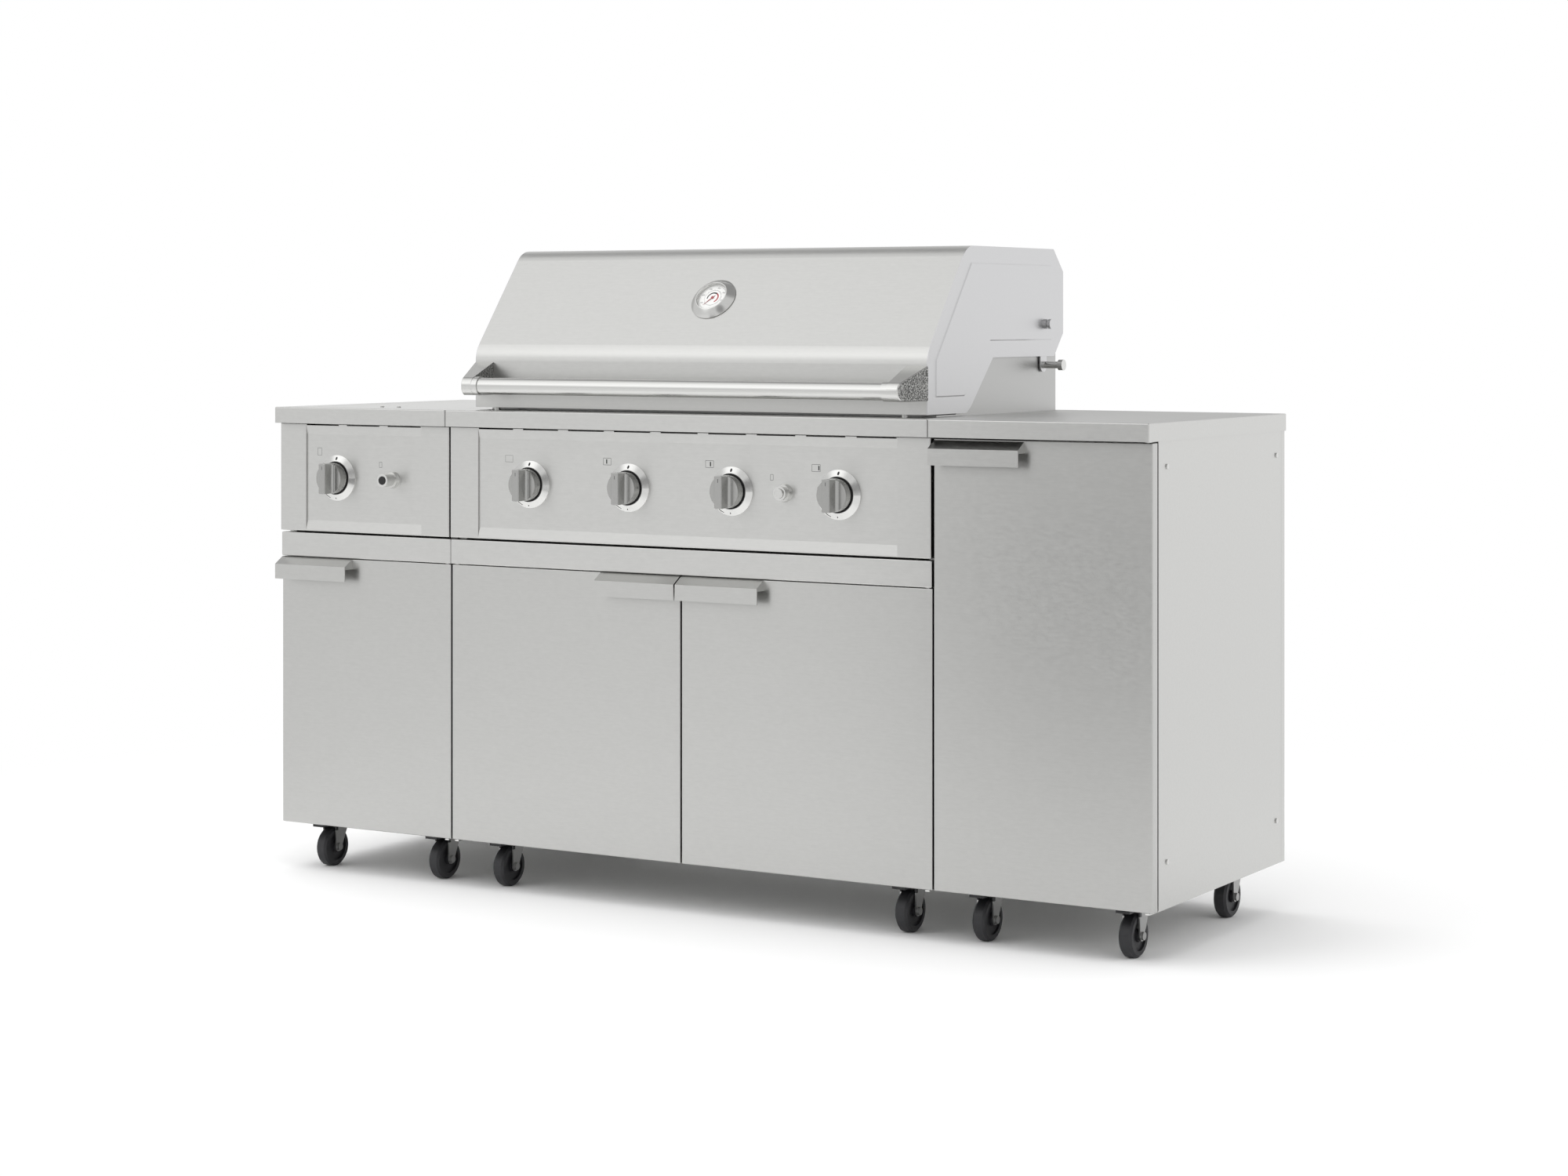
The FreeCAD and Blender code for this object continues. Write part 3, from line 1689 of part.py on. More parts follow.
needle = tilt(new_body("needle", ("0", "gauge_y", "gauge_z")))
hub_level = "(dial_level + running_gap)"
hub = circle(new_sketch(needle, "needle_hub_circle", "XY_Plane", hub_level), ("0", "0"), "needle_hub")
pad(needle, hub, "needle_hub_height")
kite = outline(
    new_sketch(needle, "needle_kite", "XY_Plane", f"{hub_level} + needle_plate"),
    [
        ("-needle_length * sin(needle_rest)", "-needle_length * cos(needle_rest)"),
        ("needle_width / 2 * cos(needle_rest)", "-needle_width / 2 * sin(needle_rest)"),
        ("needle_tail * sin(needle_rest)", "needle_tail * cos(needle_rest)"),
        ("-needle_width / 2 * cos(needle_rest)", "needle_width / 2 * sin(needle_rest)"),
    ],
)
pad(needle, kite, "needle_plate")
node("thermometer_needle", needle)

# The grease tray: it slides out to the back on the runners under the firebox

tray_low = "(tray_top - tray_depth)"
tray_long = "(tray_back - tray_start)"
tray_shell = block(
    "tray_outside",
    (f"-{tray_half}", "tray_start", tray_low),
    ("tray_length", tray_long, "tray_depth"),
)
tray_lips = block(
    "tray_lips",
    (f"-{tray_half} - tray_lip", "tray_start", "tray_top - gauge"),
    ("tray_length + 2 * tray_lip", tray_long, "gauge"),
)
plate_half = f"({tray_half} + tray_lip + 2 * runner_gap + tray_plate_margin)"
plate_low = f"({tray_low} - 2 * runner_gap - tray_plate_margin)"
tray_plate = block(
    "tray_plate",
    (f"-{plate_half}", "tray_back", plate_low),
    (f"2 * {plate_half}", "gauge", f"tray_top + 2 * runner_gap + tray_plate_margin - {plate_low}"),
)
tray_pan = block(
    "tray_pan",
    (f"-{tray_half} + gauge", "tray_start + gauge", f"{tray_low} + gauge"),
    ("tray_length - 2 * gauge", f"{tray_long} - finger_room - 2 * gauge", "tray_depth"),
)
tray_finger_room = block(
    "tray_finger_room",
    (f"-{tray_half} + gauge", "tray_back - finger_room", f"{tray_low} + gauge"),
    ("tray_length - 2 * gauge", "finger_room", "tray_depth"),
)
tray_finger_hole = block(
    "tray_finger_hole",
    ("-finger_length / 2", "tray_back - gauge", f"{tray_low} + tray_depth / 2 - finger_height / 2"),
    ("finger_length", "3 * gauge", "finger_height"),
)
tray_solid = fuse("tray_solid", tray_shell, tray_lips, tray_plate)
node("grease_tray", cut("tray", tray_solid, tray_pan, tray_finger_room, tray_finger_hole))

# The doors: folded skins with a liner at the back and a wedge-shaped pull with a lip along its
# top, turning on two short pins


def door(name, hinge, top, start, end, pull_at_end, pull_top):
    """One door. The hinge is the X of its pivot pins."""
    wide = f"({end} - ({start}))"
    tall = f"({top} - door_bottom)"
    corner = (start, "door_face", "door_bottom")
    skin = folded_tray(name + "_skin", corner, (wide, "door_thickness", tall), "back")
    pin_hole = rod(
        name + "_pin_hole",
        (hinge, "pivot_y", "door_bottom - 1"),
        "pivot_radius + running_gap",
        f"{tall} + 2",
    )
    liner = block(
        name + "_liner",
        (f"{start} + gauge", "door_back - gauge", "door_bottom + gauge"),
        (f"{wide} - 2 * gauge", "gauge", f"{tall} - 2 * gauge"),
    )
    handle_start = f"{end} - pull_length" if pull_at_end else start
    handle = new_body(name + "_pull", (handle_start, "door_face", pull_top))
    bent = outline(
        new_sketch(handle, name + "_pull_side", "YZ_Plane"),
        [
            ("0", "0"),
            ("-pull_reach", "-pull_drop"),
            ("-pull_reach", "-pull_drop - pull_lip"),
            ("pull_gauge - pull_reach", "-pull_drop - pull_lip"),
            ("pull_gauge - pull_reach", "-pull_foot"),
            ("0", "-pull_foot"),
        ],
    )
    pad(handle, bent, "pull_length")
    return node(name, cut(name + "_pierced", skin, pin_hole), liner, handle)


HINGES = {
    "left_door": ("-seam_x - door_seam / 2 - pivot_inset", "low_door_top"),
    "grill_left_door": ("-seam_x + door_seam / 2 + pivot_inset", "low_door_top"),
    "grill_right_door": ("seam_x - door_seam / 2 - pivot_inset", "low_door_top"),
    "right_door": ("end_x - side_overhang - pivot_inset", "tall_door_top"),
}
DOORS = {
    "left_door": (*FRONTS["left"], False, "low_door_top"),
    "grill_left_door": (FRONTS["centre"][0], "-door_seam / 2", True, "low_door_top"),
    "grill_right_door": ("door_seam / 2", FRONTS["centre"][1], False, "low_door_top"),
    "right_door": (*FRONTS["right"], False, "tall_door_top - tall_pull_start"),
}
for name, place in DOORS.items():
    door(name, *HINGES[name], *place)

# Fasteners: the hood's two hinge pins, the doors' hinge leaves with their pins, and the screws
# in the outer sides


def hood_pin():
    """A long headed pin through the firebox's wall, with a nut inside."""
    start = "(firebox_half - gauge - hood_nut)"
    nut = rod(
        "hood_pin_nut",
        (start, "hood_pivot_y", "hood_pivot_z"),
        "hood_pin_head_radius",
        "hood_nut",
        ALONG_X,
    )
    shank = rod(
        "hood_pin_shank",
        (start, "hood_pivot_y", "hood_pivot_z"),
        "hood_pin_radius",
        f"firebox_half + hood_pin_reach - {start}",
        ALONG_X,
    )
    head = rod(
        "hood_pin_head",
        ("firebox_half + hood_pin_reach", "hood_pivot_y", "hood_pivot_z"),
        "hood_pin_head_radius",
        "hood_pin_head",
        ALONG_X,
    )
    return fuse("right_hood_pin", nut, shank, head)


def hinge_leaf(name, hinge, low, thick, seat, pin_low):
    """A flat leaf fixed to the cabinet, and the pin that reaches from it into the door."""
    leaf = block(
        name + "_leaf",
        (f"{hinge} - hinge_leaf_half", "pivot_y - hinge_leaf_half", low),
        (
            "2 * hinge_leaf_half",
            f"cabinet_front + {seat} - (pivot_y - hinge_leaf_half)",
            thick,
        ),
    )
    pin_length = f"{thick} + hinge_gap + pivot_reach"
    pin = rod(name + "_pin", (hinge, "pivot_y", pin_low), "pivot_radius", pin_length)
    return fuse(name, leaf, pin)


leaves = []
for name, (hinge, top) in HINGES.items():
    thick = "(rail_bottom - low_door_top - hinge_gap)" if top == "low_door_top" else "hinge_leaf"
    leaves += [
        hinge_leaf(name + "_top_leaf", hinge, f"{top} + hinge_gap", thick, "0", f"{top} - pivot_reach"),
        hinge_leaf(
            name + "_bottom_leaf",
            hinge,
            "cabinet_clearance - hinge_leaf",
            "hinge_leaf",
            "hinge_leaf_seat",
            "cabinet_clearance - hinge_leaf",
        ),
    ]


def side_screw(index, along, up):
    """A flat-headed screw in the island's right side."""
    face = "end_x - side_overhang"
    head = rod(f"screw_head_{index}", (face, along, up), "screw_radius", "screw_head", ALONG_X)
    shank = rod(
        f"screw_shank_{index}",
        (f"{face} - screw_length", along, up),
        "screw_shank",
        "screw_length",
        ALONG_X,
    )
    return fuse(f"right_screw_{index}", head, shank)


right_fasteners = [hood_pin(), *[side_screw(i, *spot) for i, spot in enumerate(SCREWS, 1)]]
left_fasteners = [mirrored(f"left_{piece.Name}", piece) for piece in right_fasteners]
node("fasteners", *right_fasteners, *left_fasteners, *leaves)

# The twelve casters: a plate and race under the deck, a fork that swivels below it and a wheel.
# Those in the front row carry a brake pedal

SWIVELS = {
    "left_outer": "side_caster_inset - end_x",
    "left_inner": "-seam_x - side_caster_inset",
    "grill_left": "grill_caster_inset - seam_x",
    "grill_right": "seam_x - grill_caster_inset",
    "right_inner": "seam_x + side_caster_inset",
    "right_outer": "end_x - side_caster_inset",
}
ROWS = {"front": "front + front_swivel", "rear": "front + rear_swivel"}


def caster_plate(name, at):
    across, along = at
    plate = block(
        name + "_plate",
        (f"{across} - plate_length / 2", f"{along} - plate_width / 2", "deck_height - plate_gauge"),
        ("plate_length", "plate_width", "plate_gauge"),
    )
    race = rod(
        name + "_race",
        (across, along, "fork_crown + swivel_gap"),
        "race_radius",
        "deck_height - fork_crown - swivel_gap",
    )
    kingpin = rod(
        name + "_kingpin",
        (across, along, "fork_ceiling - swivel_gap - kingpin_nut"),
        "kingpin_radius",
        "deck_height - fork_ceiling + swivel_gap + kingpin_nut",
    )
    nut = rod(
        name + "_nut",
        (across, along, "fork_ceiling - swivel_gap - kingpin_nut"),
        "kingpin_head",
        "kingpin_nut",
    )
    return fuse(name, plate, race, kingpin, nut)


def caster_fork(name, at, braked):
    """The swivelling fork with its axle. It trails the wheel behind the swivel's axis."""
    across, along = at
    half = "(fork_inside / 2 + fork_gauge)"
    body = new_body(name + "_fork_sheet", (across, along, "0"))
    front_edge = "(trail + fork_front)"
    leg = outline(
        new_sketch(body, name + "_leg", "YZ_Plane"),
        [
            (f"-{front_edge}", "fork_crown"),
            ("fork_back", "fork_crown"),
            ("fork_back", "fork_ceiling"),
            ("fork_shoulder", "fork_ceiling"),
            ("fork_front - trail", "wheel_radius"),
            ("fork_front - trail", "wheel_radius - fork_front"),
            (f"-{front_edge}", "wheel_radius - fork_front"),
        ],
    )
    pad(body, leg, f"2 * {half}", both=True)
    foot = float(sheet.wheel_radius) - float(sheet.fork_front)
    rounded(
        body,
        "fork_foot",
        lambda edge: runs_along(edge, "x") and near(edge.CenterOfMass.z, foot),
    )
    between = rectangle(
        new_sketch(body, name + "_between", "XZ_Plane"),
        ("-fork_inside / 2", "0"),
        ("fork_inside / 2", "fork_ceiling"),
    )
    pocket(body, between, f"3 * {front_edge}", both=True)
    way = circle(
        new_sketch(body, name + "_way", "XY_Plane", "fork_crown"),
        ("0", "0"),
        "kingpin_radius + running_gap",
    )
    pocket(body, way, "2 * fork_gauge")
    nut_half = f"({half} + axle_nut)"
    axle = rod(
        name + "_axle",
        (f"{across} - {nut_half}", f"{along} - trail", "wheel_radius"),
        "axle_radius",
        f"2 * {nut_half}",
        ALONG_X,
    )
    nuts = [
        rod(
            f"{name}_axle_nut_{i}",
            (f"{across} + {start}", f"{along} - trail", "wheel_radius"),
            "axle_nut_radius",
            "axle_nut",
            ALONG_X,
        )
        for i, start in enumerate((f"(-{nut_half})", half), 1)
    ]
    pieces = [fuse(name + "_fork_solid", body, axle, *nuts)]
    if braked:
        pieces.append(
            block(
                name + "_pedal",
                (
                    f"{across} - pedal_width / 2",
                    f"{along} - pedal_reach",
                    "fork_ceiling - pedal_height",
                ),
                ("pedal_width", "pedal_reach - pedal_start", "pedal_height"),
            )
        )
    return node(name + "_fork", *pieces)


def caster_wheel(name, at):
    """A wheel turned about its axle, with a recessed disc on both sides of its hub."""
    across, along = at
    body = new_body(name + "_wheel_solid", (across, f"{along} - trail", "wheel_radius"))
    half = outline(
        new_sketch(body, name + "_wheel_half", "XY_Plane"),
        [
            ("-hub_width / 2", "axle_radius + running_gap"),
            ("-hub_width / 2", "hub_radius"),
            ("rim_depth - wheel_width / 2", "hub_radius"),
            ("rim_depth - wheel_width / 2", "rim_radius"),
            ("-wheel_width / 2", "rim_radius"),
            ("-wheel_width / 2", "wheel_radius - tread_chamfer"),
            ("tread_chamfer - wheel_width / 2", "wheel_radius"),
            ("wheel_width / 2 - tread_chamfer", "wheel_radius"),
            ("wheel_width / 2", "wheel_radius - tread_chamfer"),
            ("wheel_width / 2", "rim_radius"),
            ("wheel_width / 2 - rim_depth", "rim_radius"),
            ("wheel_width / 2 - rim_depth", "hub_radius"),
            ("hub_width / 2", "hub_radius"),
            ("hub_width / 2", "axle_radius + running_gap"),
        ],
    )
    turned(body, half, "H_Axis")
    return node(name + "_wheel", body)


plates = []
for side, across in SWIVELS.items():
    for row, along in ROWS.items():
        name = f"{side}_{row}"
        plates.append(caster_plate(name, (across, along)))
        caster_fork(name, (across, along), row == "front")
        caster_wheel(name, (across, along))
node("caster_plates", *plates)

# The finished document is checked before any sub-part is written

doc.recompute()
faulty = [
    item.Name
    for item in doc.Objects
    if {"Invalid", "Error"} & set(item.State)
]
if faulty:
    raise ValueError(f"not computed: {faulty}")
for name, thing in NODES.items():
    if thing.Shape.isNull() or not thing.Shape.isValid():
        raise ValueError(f"{name} has no valid shape")

os.makedirs("parts", exist_ok=True)
for name, thing in NODES.items():
    thing.Shape.exportStep(f"parts/{name}.step")
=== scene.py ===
import math
import bpy
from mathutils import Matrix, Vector


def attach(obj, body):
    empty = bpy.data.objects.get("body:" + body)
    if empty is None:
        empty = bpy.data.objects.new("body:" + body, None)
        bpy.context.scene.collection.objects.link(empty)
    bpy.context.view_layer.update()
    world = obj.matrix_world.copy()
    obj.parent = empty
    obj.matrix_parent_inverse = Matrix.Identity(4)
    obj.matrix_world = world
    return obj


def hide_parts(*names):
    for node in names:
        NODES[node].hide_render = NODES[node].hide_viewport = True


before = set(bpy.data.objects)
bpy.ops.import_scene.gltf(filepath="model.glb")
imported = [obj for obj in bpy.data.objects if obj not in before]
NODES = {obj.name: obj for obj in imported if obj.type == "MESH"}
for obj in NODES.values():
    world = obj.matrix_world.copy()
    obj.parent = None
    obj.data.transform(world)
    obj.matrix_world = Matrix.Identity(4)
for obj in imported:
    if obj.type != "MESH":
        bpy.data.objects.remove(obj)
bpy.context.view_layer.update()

# The studio: white paper that runs from the floor into the background, and three soft boxes.
# A long lens stands 5.9 m away at the height of the closed hood's shoulder and is turned to the
# left. Its frame is shifted down, so that uprights stay parallel.
LENS_MM = 70.7
CAMERA_AT = (2.988, -4.944, 1.074)
CAMERA_TURN = math.radians(30.666)
FRAME_DROP = 0.1725
PAPER = "#F7F7F7"
PAPER_HALF = 14
PAPER_FADE = (1.05, 2.4)
ROOM_LIGHT = 0.86
HORIZON = 0.82
SOFT_BOXES = {
    "overhead_box": ((-0.8, -0.4, 3.6), (5.0, 4.0), 1.25),
    "front_box": ((-2.6, -4.4, 3.6), (3.2, 2.4), 2.2),
    "right_box": ((4.2, -0.5, 2.6), (2.4, 2.4), 1.4),
}
# What the metal mirrors of the room: towards where, the cosines where it is full and where it
# ends, and how much it adds to the even light
MIRRORED = {
    "slope_light": ((-0.51, -0.19, 0.84), 0.985, 0.90, 0.30),
    "shoulder_light": ((-0.51, -0.62, 0.60), 0.99, 0.90, 0.52),
    "front_window": ((-0.50, -0.78, 0.38), 0.99, 0.94, 0.35),
    "dark_ceiling": ((-0.51, 0.33, 0.79), 0.985, 0.94, -0.36),
    "dark_back": ((-0.34, 0.94, 0.05), 0.995, 0.955, -0.25),
    "bright_left": ((-0.74, 0.66, 0.10), 0.97, 0.90, 0.25),
    "bright_right": ((0.60, 0.78, 0.10), 0.90, 0.50, 0.27),
    "dark_above_right": ((0.18, 0.25, 0.94), 0.93, 0.74, -0.45),
    "dark_lens_side": ((0.35, -0.90, 0.26), 0.995, 0.95, -0.5),
}


def hex_colour(text):
    """An sRGB colour such as #C3C3C2 as the linear values that a shader takes."""
    parts = [int(text[i : i + 2], 16) / 255 for i in (1, 3, 5)]
    linear = [
        part / 12.92 if part <= 0.04045 else ((part + 0.055) / 1.055) ** 2.4 for part in parts
    ]
    return (*linear, 1)


def add_node(tree, kind, inputs=(), **settings):
    """Adds a node. Each input is a plain value or another node's output."""
    made = tree.nodes.new("ShaderNode" + kind)
    for name, value in settings.items():
        setattr(made, name, value)
    for socket, value in dict(inputs).items():
        if isinstance(value, bpy.types.NodeSocket):
            tree.links.new(value, made.inputs[socket])
        else:
            made.inputs[socket].default_value = value
    return made


def calculate(tree, operation, first, second=0.0):
    return add_node(tree, "Math", {0: first, 1: second}, operation=operation).outputs[0]


def remap(tree, value, low, high, to_low=0.0, to_high=1.0, step="LINEAR"):
    """Maps a value from one range to another, without going past its ends."""
    inputs = {
        "Value": value,
        "From Min": low,
        "From Max": high,
        "To Min": to_low,
        "To Max": to_high,
    }
    return add_node(tree, "MapRange", inputs, interpolation_type=step).outputs[0]


camera = bpy.data.objects.new("camera", bpy.data.cameras.new("camera"))
camera.data.lens = LENS_MM
camera.data.shift_y = -FRAME_DROP
camera.location = CAMERA_AT
camera.rotation_euler = (math.pi / 2, 0, CAMERA_TURN)
bpy.context.scene.collection.objects.link(camera)
bpy.context.scene.camera = camera
bpy.context.scene.view_settings.view_transform = "Standard"

room = bpy.data.worlds.new("room")
room.use_nodes = True
tree = room.node_tree
tree.nodes.clear()
bpy.context.scene.world = room
ray = add_node(tree, "LightPath").outputs
way = add_node(tree, "TexCoord").outputs["Generated"]
seen_in_metal = HORIZON
for axis, full, end, adds in MIRRORED.values():
    facing = add_node(
        tree, "VectorMath", {0: way, 1: Vector(axis).normalized()}, operation="DOT_PRODUCT"
    ).outputs["Value"]
    part = remap(tree, facing, end, full, 0.0, adds, "SMOOTHSTEP")
    seen_in_metal = calculate(tree, "ADD", part, seen_in_metal)
metal_or_room = add_node(
    tree, "Mix", {0: ray["Is Glossy Ray"], 2: ROOM_LIGHT, 3: seen_in_metal}
).outputs[0]
straight = calculate(tree, "MAXIMUM", ray["Is Camera Ray"], ray["Is Transmission Ray"])
strength = add_node(tree, "Mix", {0: straight, 2: metal_or_room, 3: 1.0}).outputs[0]
air = add_node(tree, "Background", {"Color": (1, 1, 1, 1), "Strength": strength}).outputs[0]
add_node(tree, "OutputWorld", {"Surface": air})

paper = bpy.data.materials.new("white_paper")
paper.use_nodes = True
tree = paper.node_tree
tree.nodes.clear()
sheet = add_node(tree, "BsdfDiffuse", {"Color": hex_colour(PAPER)}).outputs[0]
glow = add_node(tree, "Emission", {"Color": (1, 1, 1, 1), "Strength": 1.0}).outputs[0]
spot = add_node(tree, "TexCoord").outputs["Object"]
away = add_node(tree, "VectorMath", {0: spot}, operation="LENGTH").outputs["Value"]
fade = remap(tree, away, *PAPER_FADE, step="SMOOTHSTEP")
ray = add_node(tree, "LightPath").outputs
seen = calculate(tree, "MAXIMUM", ray["Is Camera Ray"], ray["Is Glossy Ray"])
seen = calculate(tree, "MAXIMUM", seen, ray["Is Transmission Ray"])
faded = calculate(tree, "MULTIPLY", fade, seen)
surface = add_node(tree, "MixShader", {0: faded, 1: sheet, 2: glow}).outputs[0]
add_node(tree, "OutputMaterial", {"Surface": surface})
bpy.ops.object.select_all(action="DESELECT")
bpy.ops.mesh.primitive_plane_add(size=2 * PAPER_HALF, location=(0, 0, 0))
floor = bpy.context.object
floor.name = "floor"
floor.data.materials.append(paper)

# A grey card that stands left of the camera, as photographers set one up to shade shiny metal.
# Only the metal sees it, and it shades what the low front of the island mirrors.
CARD_AT = (-0.15, -2.65, 0.36)
CARD_SIZE = (1.1, 0.72)
CARD_GREY = 0.3
card_paint = bpy.data.materials.new("grey_card")
card_paint.use_nodes = True
tree = card_paint.node_tree
tree.nodes.clear()
dim = add_node(tree, "Emission", {"Color": (1, 1, 1, 1), "Strength": CARD_GREY}).outputs[0]
add_node(tree, "OutputMaterial", {"Surface": dim})
bpy.ops.object.select_all(action="DESELECT")
bpy.ops.mesh.primitive_plane_add(size=1, location=CARD_AT, rotation=(math.pi / 2, 0, 0))
card = bpy.context.object
card.name = "grey_card"
card.scale = (*CARD_SIZE, 1)
card.data.materials.append(card_paint)
card.visible_camera = False
card.visible_diffuse = False
card.visible_shadow = False

# The soft boxes: wide lamps behind cloth, all turned to the middle of the island. The metal
# doesn't mirror them, because what it sees of the room is set above.
LAMPS_AIM = (0, 0, 0.7)
for name, (place, size, brightness) in SOFT_BOXES.items():
    lamp = bpy.data.lights.new(name, "AREA")
    lamp.shape = "RECTANGLE"
    lamp.size, lamp.size_y = size
    lamp.energy = brightness * math.pi * size[0] * size[1]
    stand = bpy.data.objects.new(name, lamp)
    stand.location = place
    aim = Vector(LAMPS_AIM) - Vector(place)
    stand.rotation_euler = aim.to_track_quat("-Z", "Y").to_euler()
    stand.visible_glossy = False
    bpy.context.scene.collection.objects.link(stand)

# The cabinets, rails, doors, control panels and worktops: folded sheets of AISI 304 stainless
# steel, 1.2 mm thick. Their long-grain brushed finish runs along the island's length, so what
# they mirror is drawn out upwards and stays sharper sideways.
BRUSHED = "#CCCCCA"
# The doors' steel is painted darker than the rest: painted shade for the darker reflections that
# their faces show
BRUSHED_DOOR_SHADED = "#C3C3C1"
STREAK_MM = (60, 1.2)
MOTTLE_MM = (14, 5)


def new_material(name):
    """An empty material, its tree and the object's own coordinates."""
    made = bpy.data.materials.new(name)
    made.use_nodes = True
    made.node_tree.nodes.clear()
    return made, made.node_tree, add_node(made.node_tree, "TexCoord").outputs


def noise(tree, place, size_mm, detail=3.0):
    """Noise whose grains measure size_mm along X, Y and Z."""
    scale = tuple(1000 / size for size in size_mm)
    grain = add_node(tree, "Mapping", {"Vector": place, "Scale": scale}).outputs[0]
    return add_node(tree, "TexNoise", {"Vector": grain, "Scale": 1.0, "Detail": detail}).outputs[0]


def toned(tree, colour, *tones):
    """A colour that each of the tones darkens or lightens a little."""
    made = hex_colour(colour)
    for tone in tones:
        made = add_node(
            tree, "MixRGB", {"Fac": 1.0, "Color1": made, "Color2": tone}, blend_type="MULTIPLY"
        ).outputs[0]
    return made


def finish(tree, **inputs):
    """Ends a material in one principled surface."""
    named = {word.replace("_", " "): value for word, value in inputs.items()}
    surface = add_node(tree, "BsdfPrincipled", named).outputs[0]
    add_node(tree, "OutputMaterial", {"Surface": surface})


def to_world(tree, direction):
    """A direction in the object's own axes, given in those of the world."""
    return add_node(
        tree,
        "VectorTransform",
        {0: direction},
        vector_type="VECTOR",
        convert_from="OBJECT",
        convert_to="WORLD",
    ).outputs[0]


def across_the_grain(tree, coords):
    """The direction in the surface that is square to the island's length."""
    turned = add_node(
        tree, "VectorMath", {0: coords["Normal"], 1: (1, 0, 0)}, operation="CROSS_PRODUCT"
    ).outputs[0]
    lifted = add_node(tree, "VectorMath", {0: turned, 1: (0, 0, 0.02)}, operation="ADD").outputs[0]
    return to_world(tree, lifted)


def brushed_steel(name, colour, roughness, spread, mottled=0.04):
    """Steel brushed along X, with faint streaks and a fine mottled tone."""
    made, tree, coords = new_material(name)
    streaks = noise(tree, coords["Object"], (STREAK_MM[0], STREAK_MM[1], STREAK_MM[1]))
    mottle = noise(tree, coords["Object"], (MOTTLE_MM[0], MOTTLE_MM[1], MOTTLE_MM[1]), 4.0)
    streak_tone = remap(tree, streaks, 0.25, 0.75, 0.965, 1.0)
    mottle_tone = remap(tree, mottle, 0.3, 0.7, 1 - mottled, 1.0)
    relief = {"Height": streaks, "Strength": 0.2, "Distance": 0.0001}
    finish(
        tree,
        Base_Color=toned(tree, colour, streak_tone, mottle_tone),
        Metallic=1.0,
        Roughness=remap(tree, mottle, 0.3, 0.7, roughness - 0.02, roughness + 0.02),
        Anisotropic=spread,
        Tangent=across_the_grain(tree, coords),
        Normal=add_node(tree, "Bump", relief).outputs[0],
    )
    return made


def finish_nodes(material, *names):
    """Gives CAD nodes a material."""
    for name in names:
        NODES[name].data.materials.clear()
        NODES[name].data.materials.append(material)


finish_nodes(
    brushed_steel("brushed_sheet_steel", BRUSHED, 0.30, 0.6),
    "left_worktop", "right_worktop", "grill_surround", "left_control_panel", "grill_control_panel",
    "left_cabinet", "centre_cabinet", "right_cabinet", "side_burner_lid", "hood_skin",
)
# The doors take a darker copy of this steel, painted shade for the darker reflections that their
# faces show
finish_nodes(
    brushed_steel("brushed_door_steel_painted_darker", BRUSHED_DOOR_SHADED, 0.32, 0.6),
    "left_door", "grill_left_door", "grill_right_door", "right_door",
)

# Parts inside the island that heat and food touch: the firebox, bowl, burners, flame tamers
# and grease tray are pressed from plain satin stainless steel, a little darker than outside.
SATIN = "#B9B9B8"


def satin_metal(name, colour, roughness, grain_mm=6):
    """Metal with an even satin face whose gloss clouds a little."""
    made, tree, coords = new_material(name)
    cloud = noise(tree, coords["Object"], (grain_mm, grain_mm, grain_mm), 4.0)
    finish(
        tree,
        Base_Color=toned(tree, colour, remap(tree, cloud, 0.3, 0.7, 0.97, 1.0)),
        Metallic=1.0,
        Roughness=remap(tree, cloud, 0.3, 0.7, roughness - 0.03, roughness + 0.03),
    )
    return made


finish_nodes(
    satin_metal("satin_steel", SATIN, 0.36),
    "firebox", "burners", "flame_tamers", "side_burner_bowl", "grease_tray",
)

# The cooking grates and the side burner's trivet are cast iron under black porcelain enamel,
# rough as cast beneath it. The warming rack is welded from bright steel rod.
ENAMEL = "#1D1D1F"

enamel, tree, coords = new_material("black_enamelled_iron")
casting = noise(tree, coords["Object"], (1.5, 1.5, 1.5), 3.0)
relief = {"Height": casting, "Strength": 0.5, "Distance": 0.0003}
finish(
    tree,
    Base_Color=toned(tree, ENAMEL, remap(tree, casting, 0.3, 0.7, 0.8, 1.0)),
    Roughness=remap(tree, casting, 0.3, 0.7, 0.35, 0.5),
    Normal=add_node(tree, "Bump", relief).outputs[0],
)
finish_nodes(enamel, "cooking_grates")
bright_steel = satin_metal("bright_steel", "#D4D4D2", 0.16, 3)
finish_nodes(bright_steel, "warming_rack")

# The casters: forks, plates and brake pedals of zinc-plated steel, with black moulded wheels.
# The plating is dull grey with a faint cloudy spangle, and the pedals carry black caps.
ZINC = "#A9A9A8"
PEDAL_CAP = "#161618"
PEDAL_BEFORE = -0.2005
PEDAL_ABOVE = 0.07

finish_nodes(
    satin_metal("zinc_plating", ZINC, 0.36, 9),
    "gas_manifold", "caster_plates", *[name for name in NODES if name.endswith("_fork")],
)
braked, tree, coords = new_material("zinc_fork_with_black_pedal")
spot = add_node(tree, "SeparateXYZ", {0: coords["Object"]}).outputs
in_front = calculate(tree, "LESS_THAN", spot["Y"], PEDAL_BEFORE)
raised = calculate(tree, "GREATER_THAN", spot["Z"], PEDAL_ABOVE)
capped = calculate(tree, "MULTIPLY", in_front, raised)
cloud = noise(tree, coords["Object"], (9, 9, 9), 4.0)
plated = toned(tree, ZINC, remap(tree, cloud, 0.3, 0.7, 0.97, 1.0))
both = {"Fac": capped, "Color1": plated, "Color2": hex_colour(PEDAL_CAP)}
finish(
    tree,
    Base_Color=add_node(tree, "MixRGB", both).outputs[0],
    Metallic=calculate(tree, "SUBTRACT", 1.0, capped),
    Roughness=remap(tree, cloud, 0.3, 0.7, 0.33, 0.39),
)
finish_nodes(braked, *[name for name in NODES if name.endswith("_front_fork")])
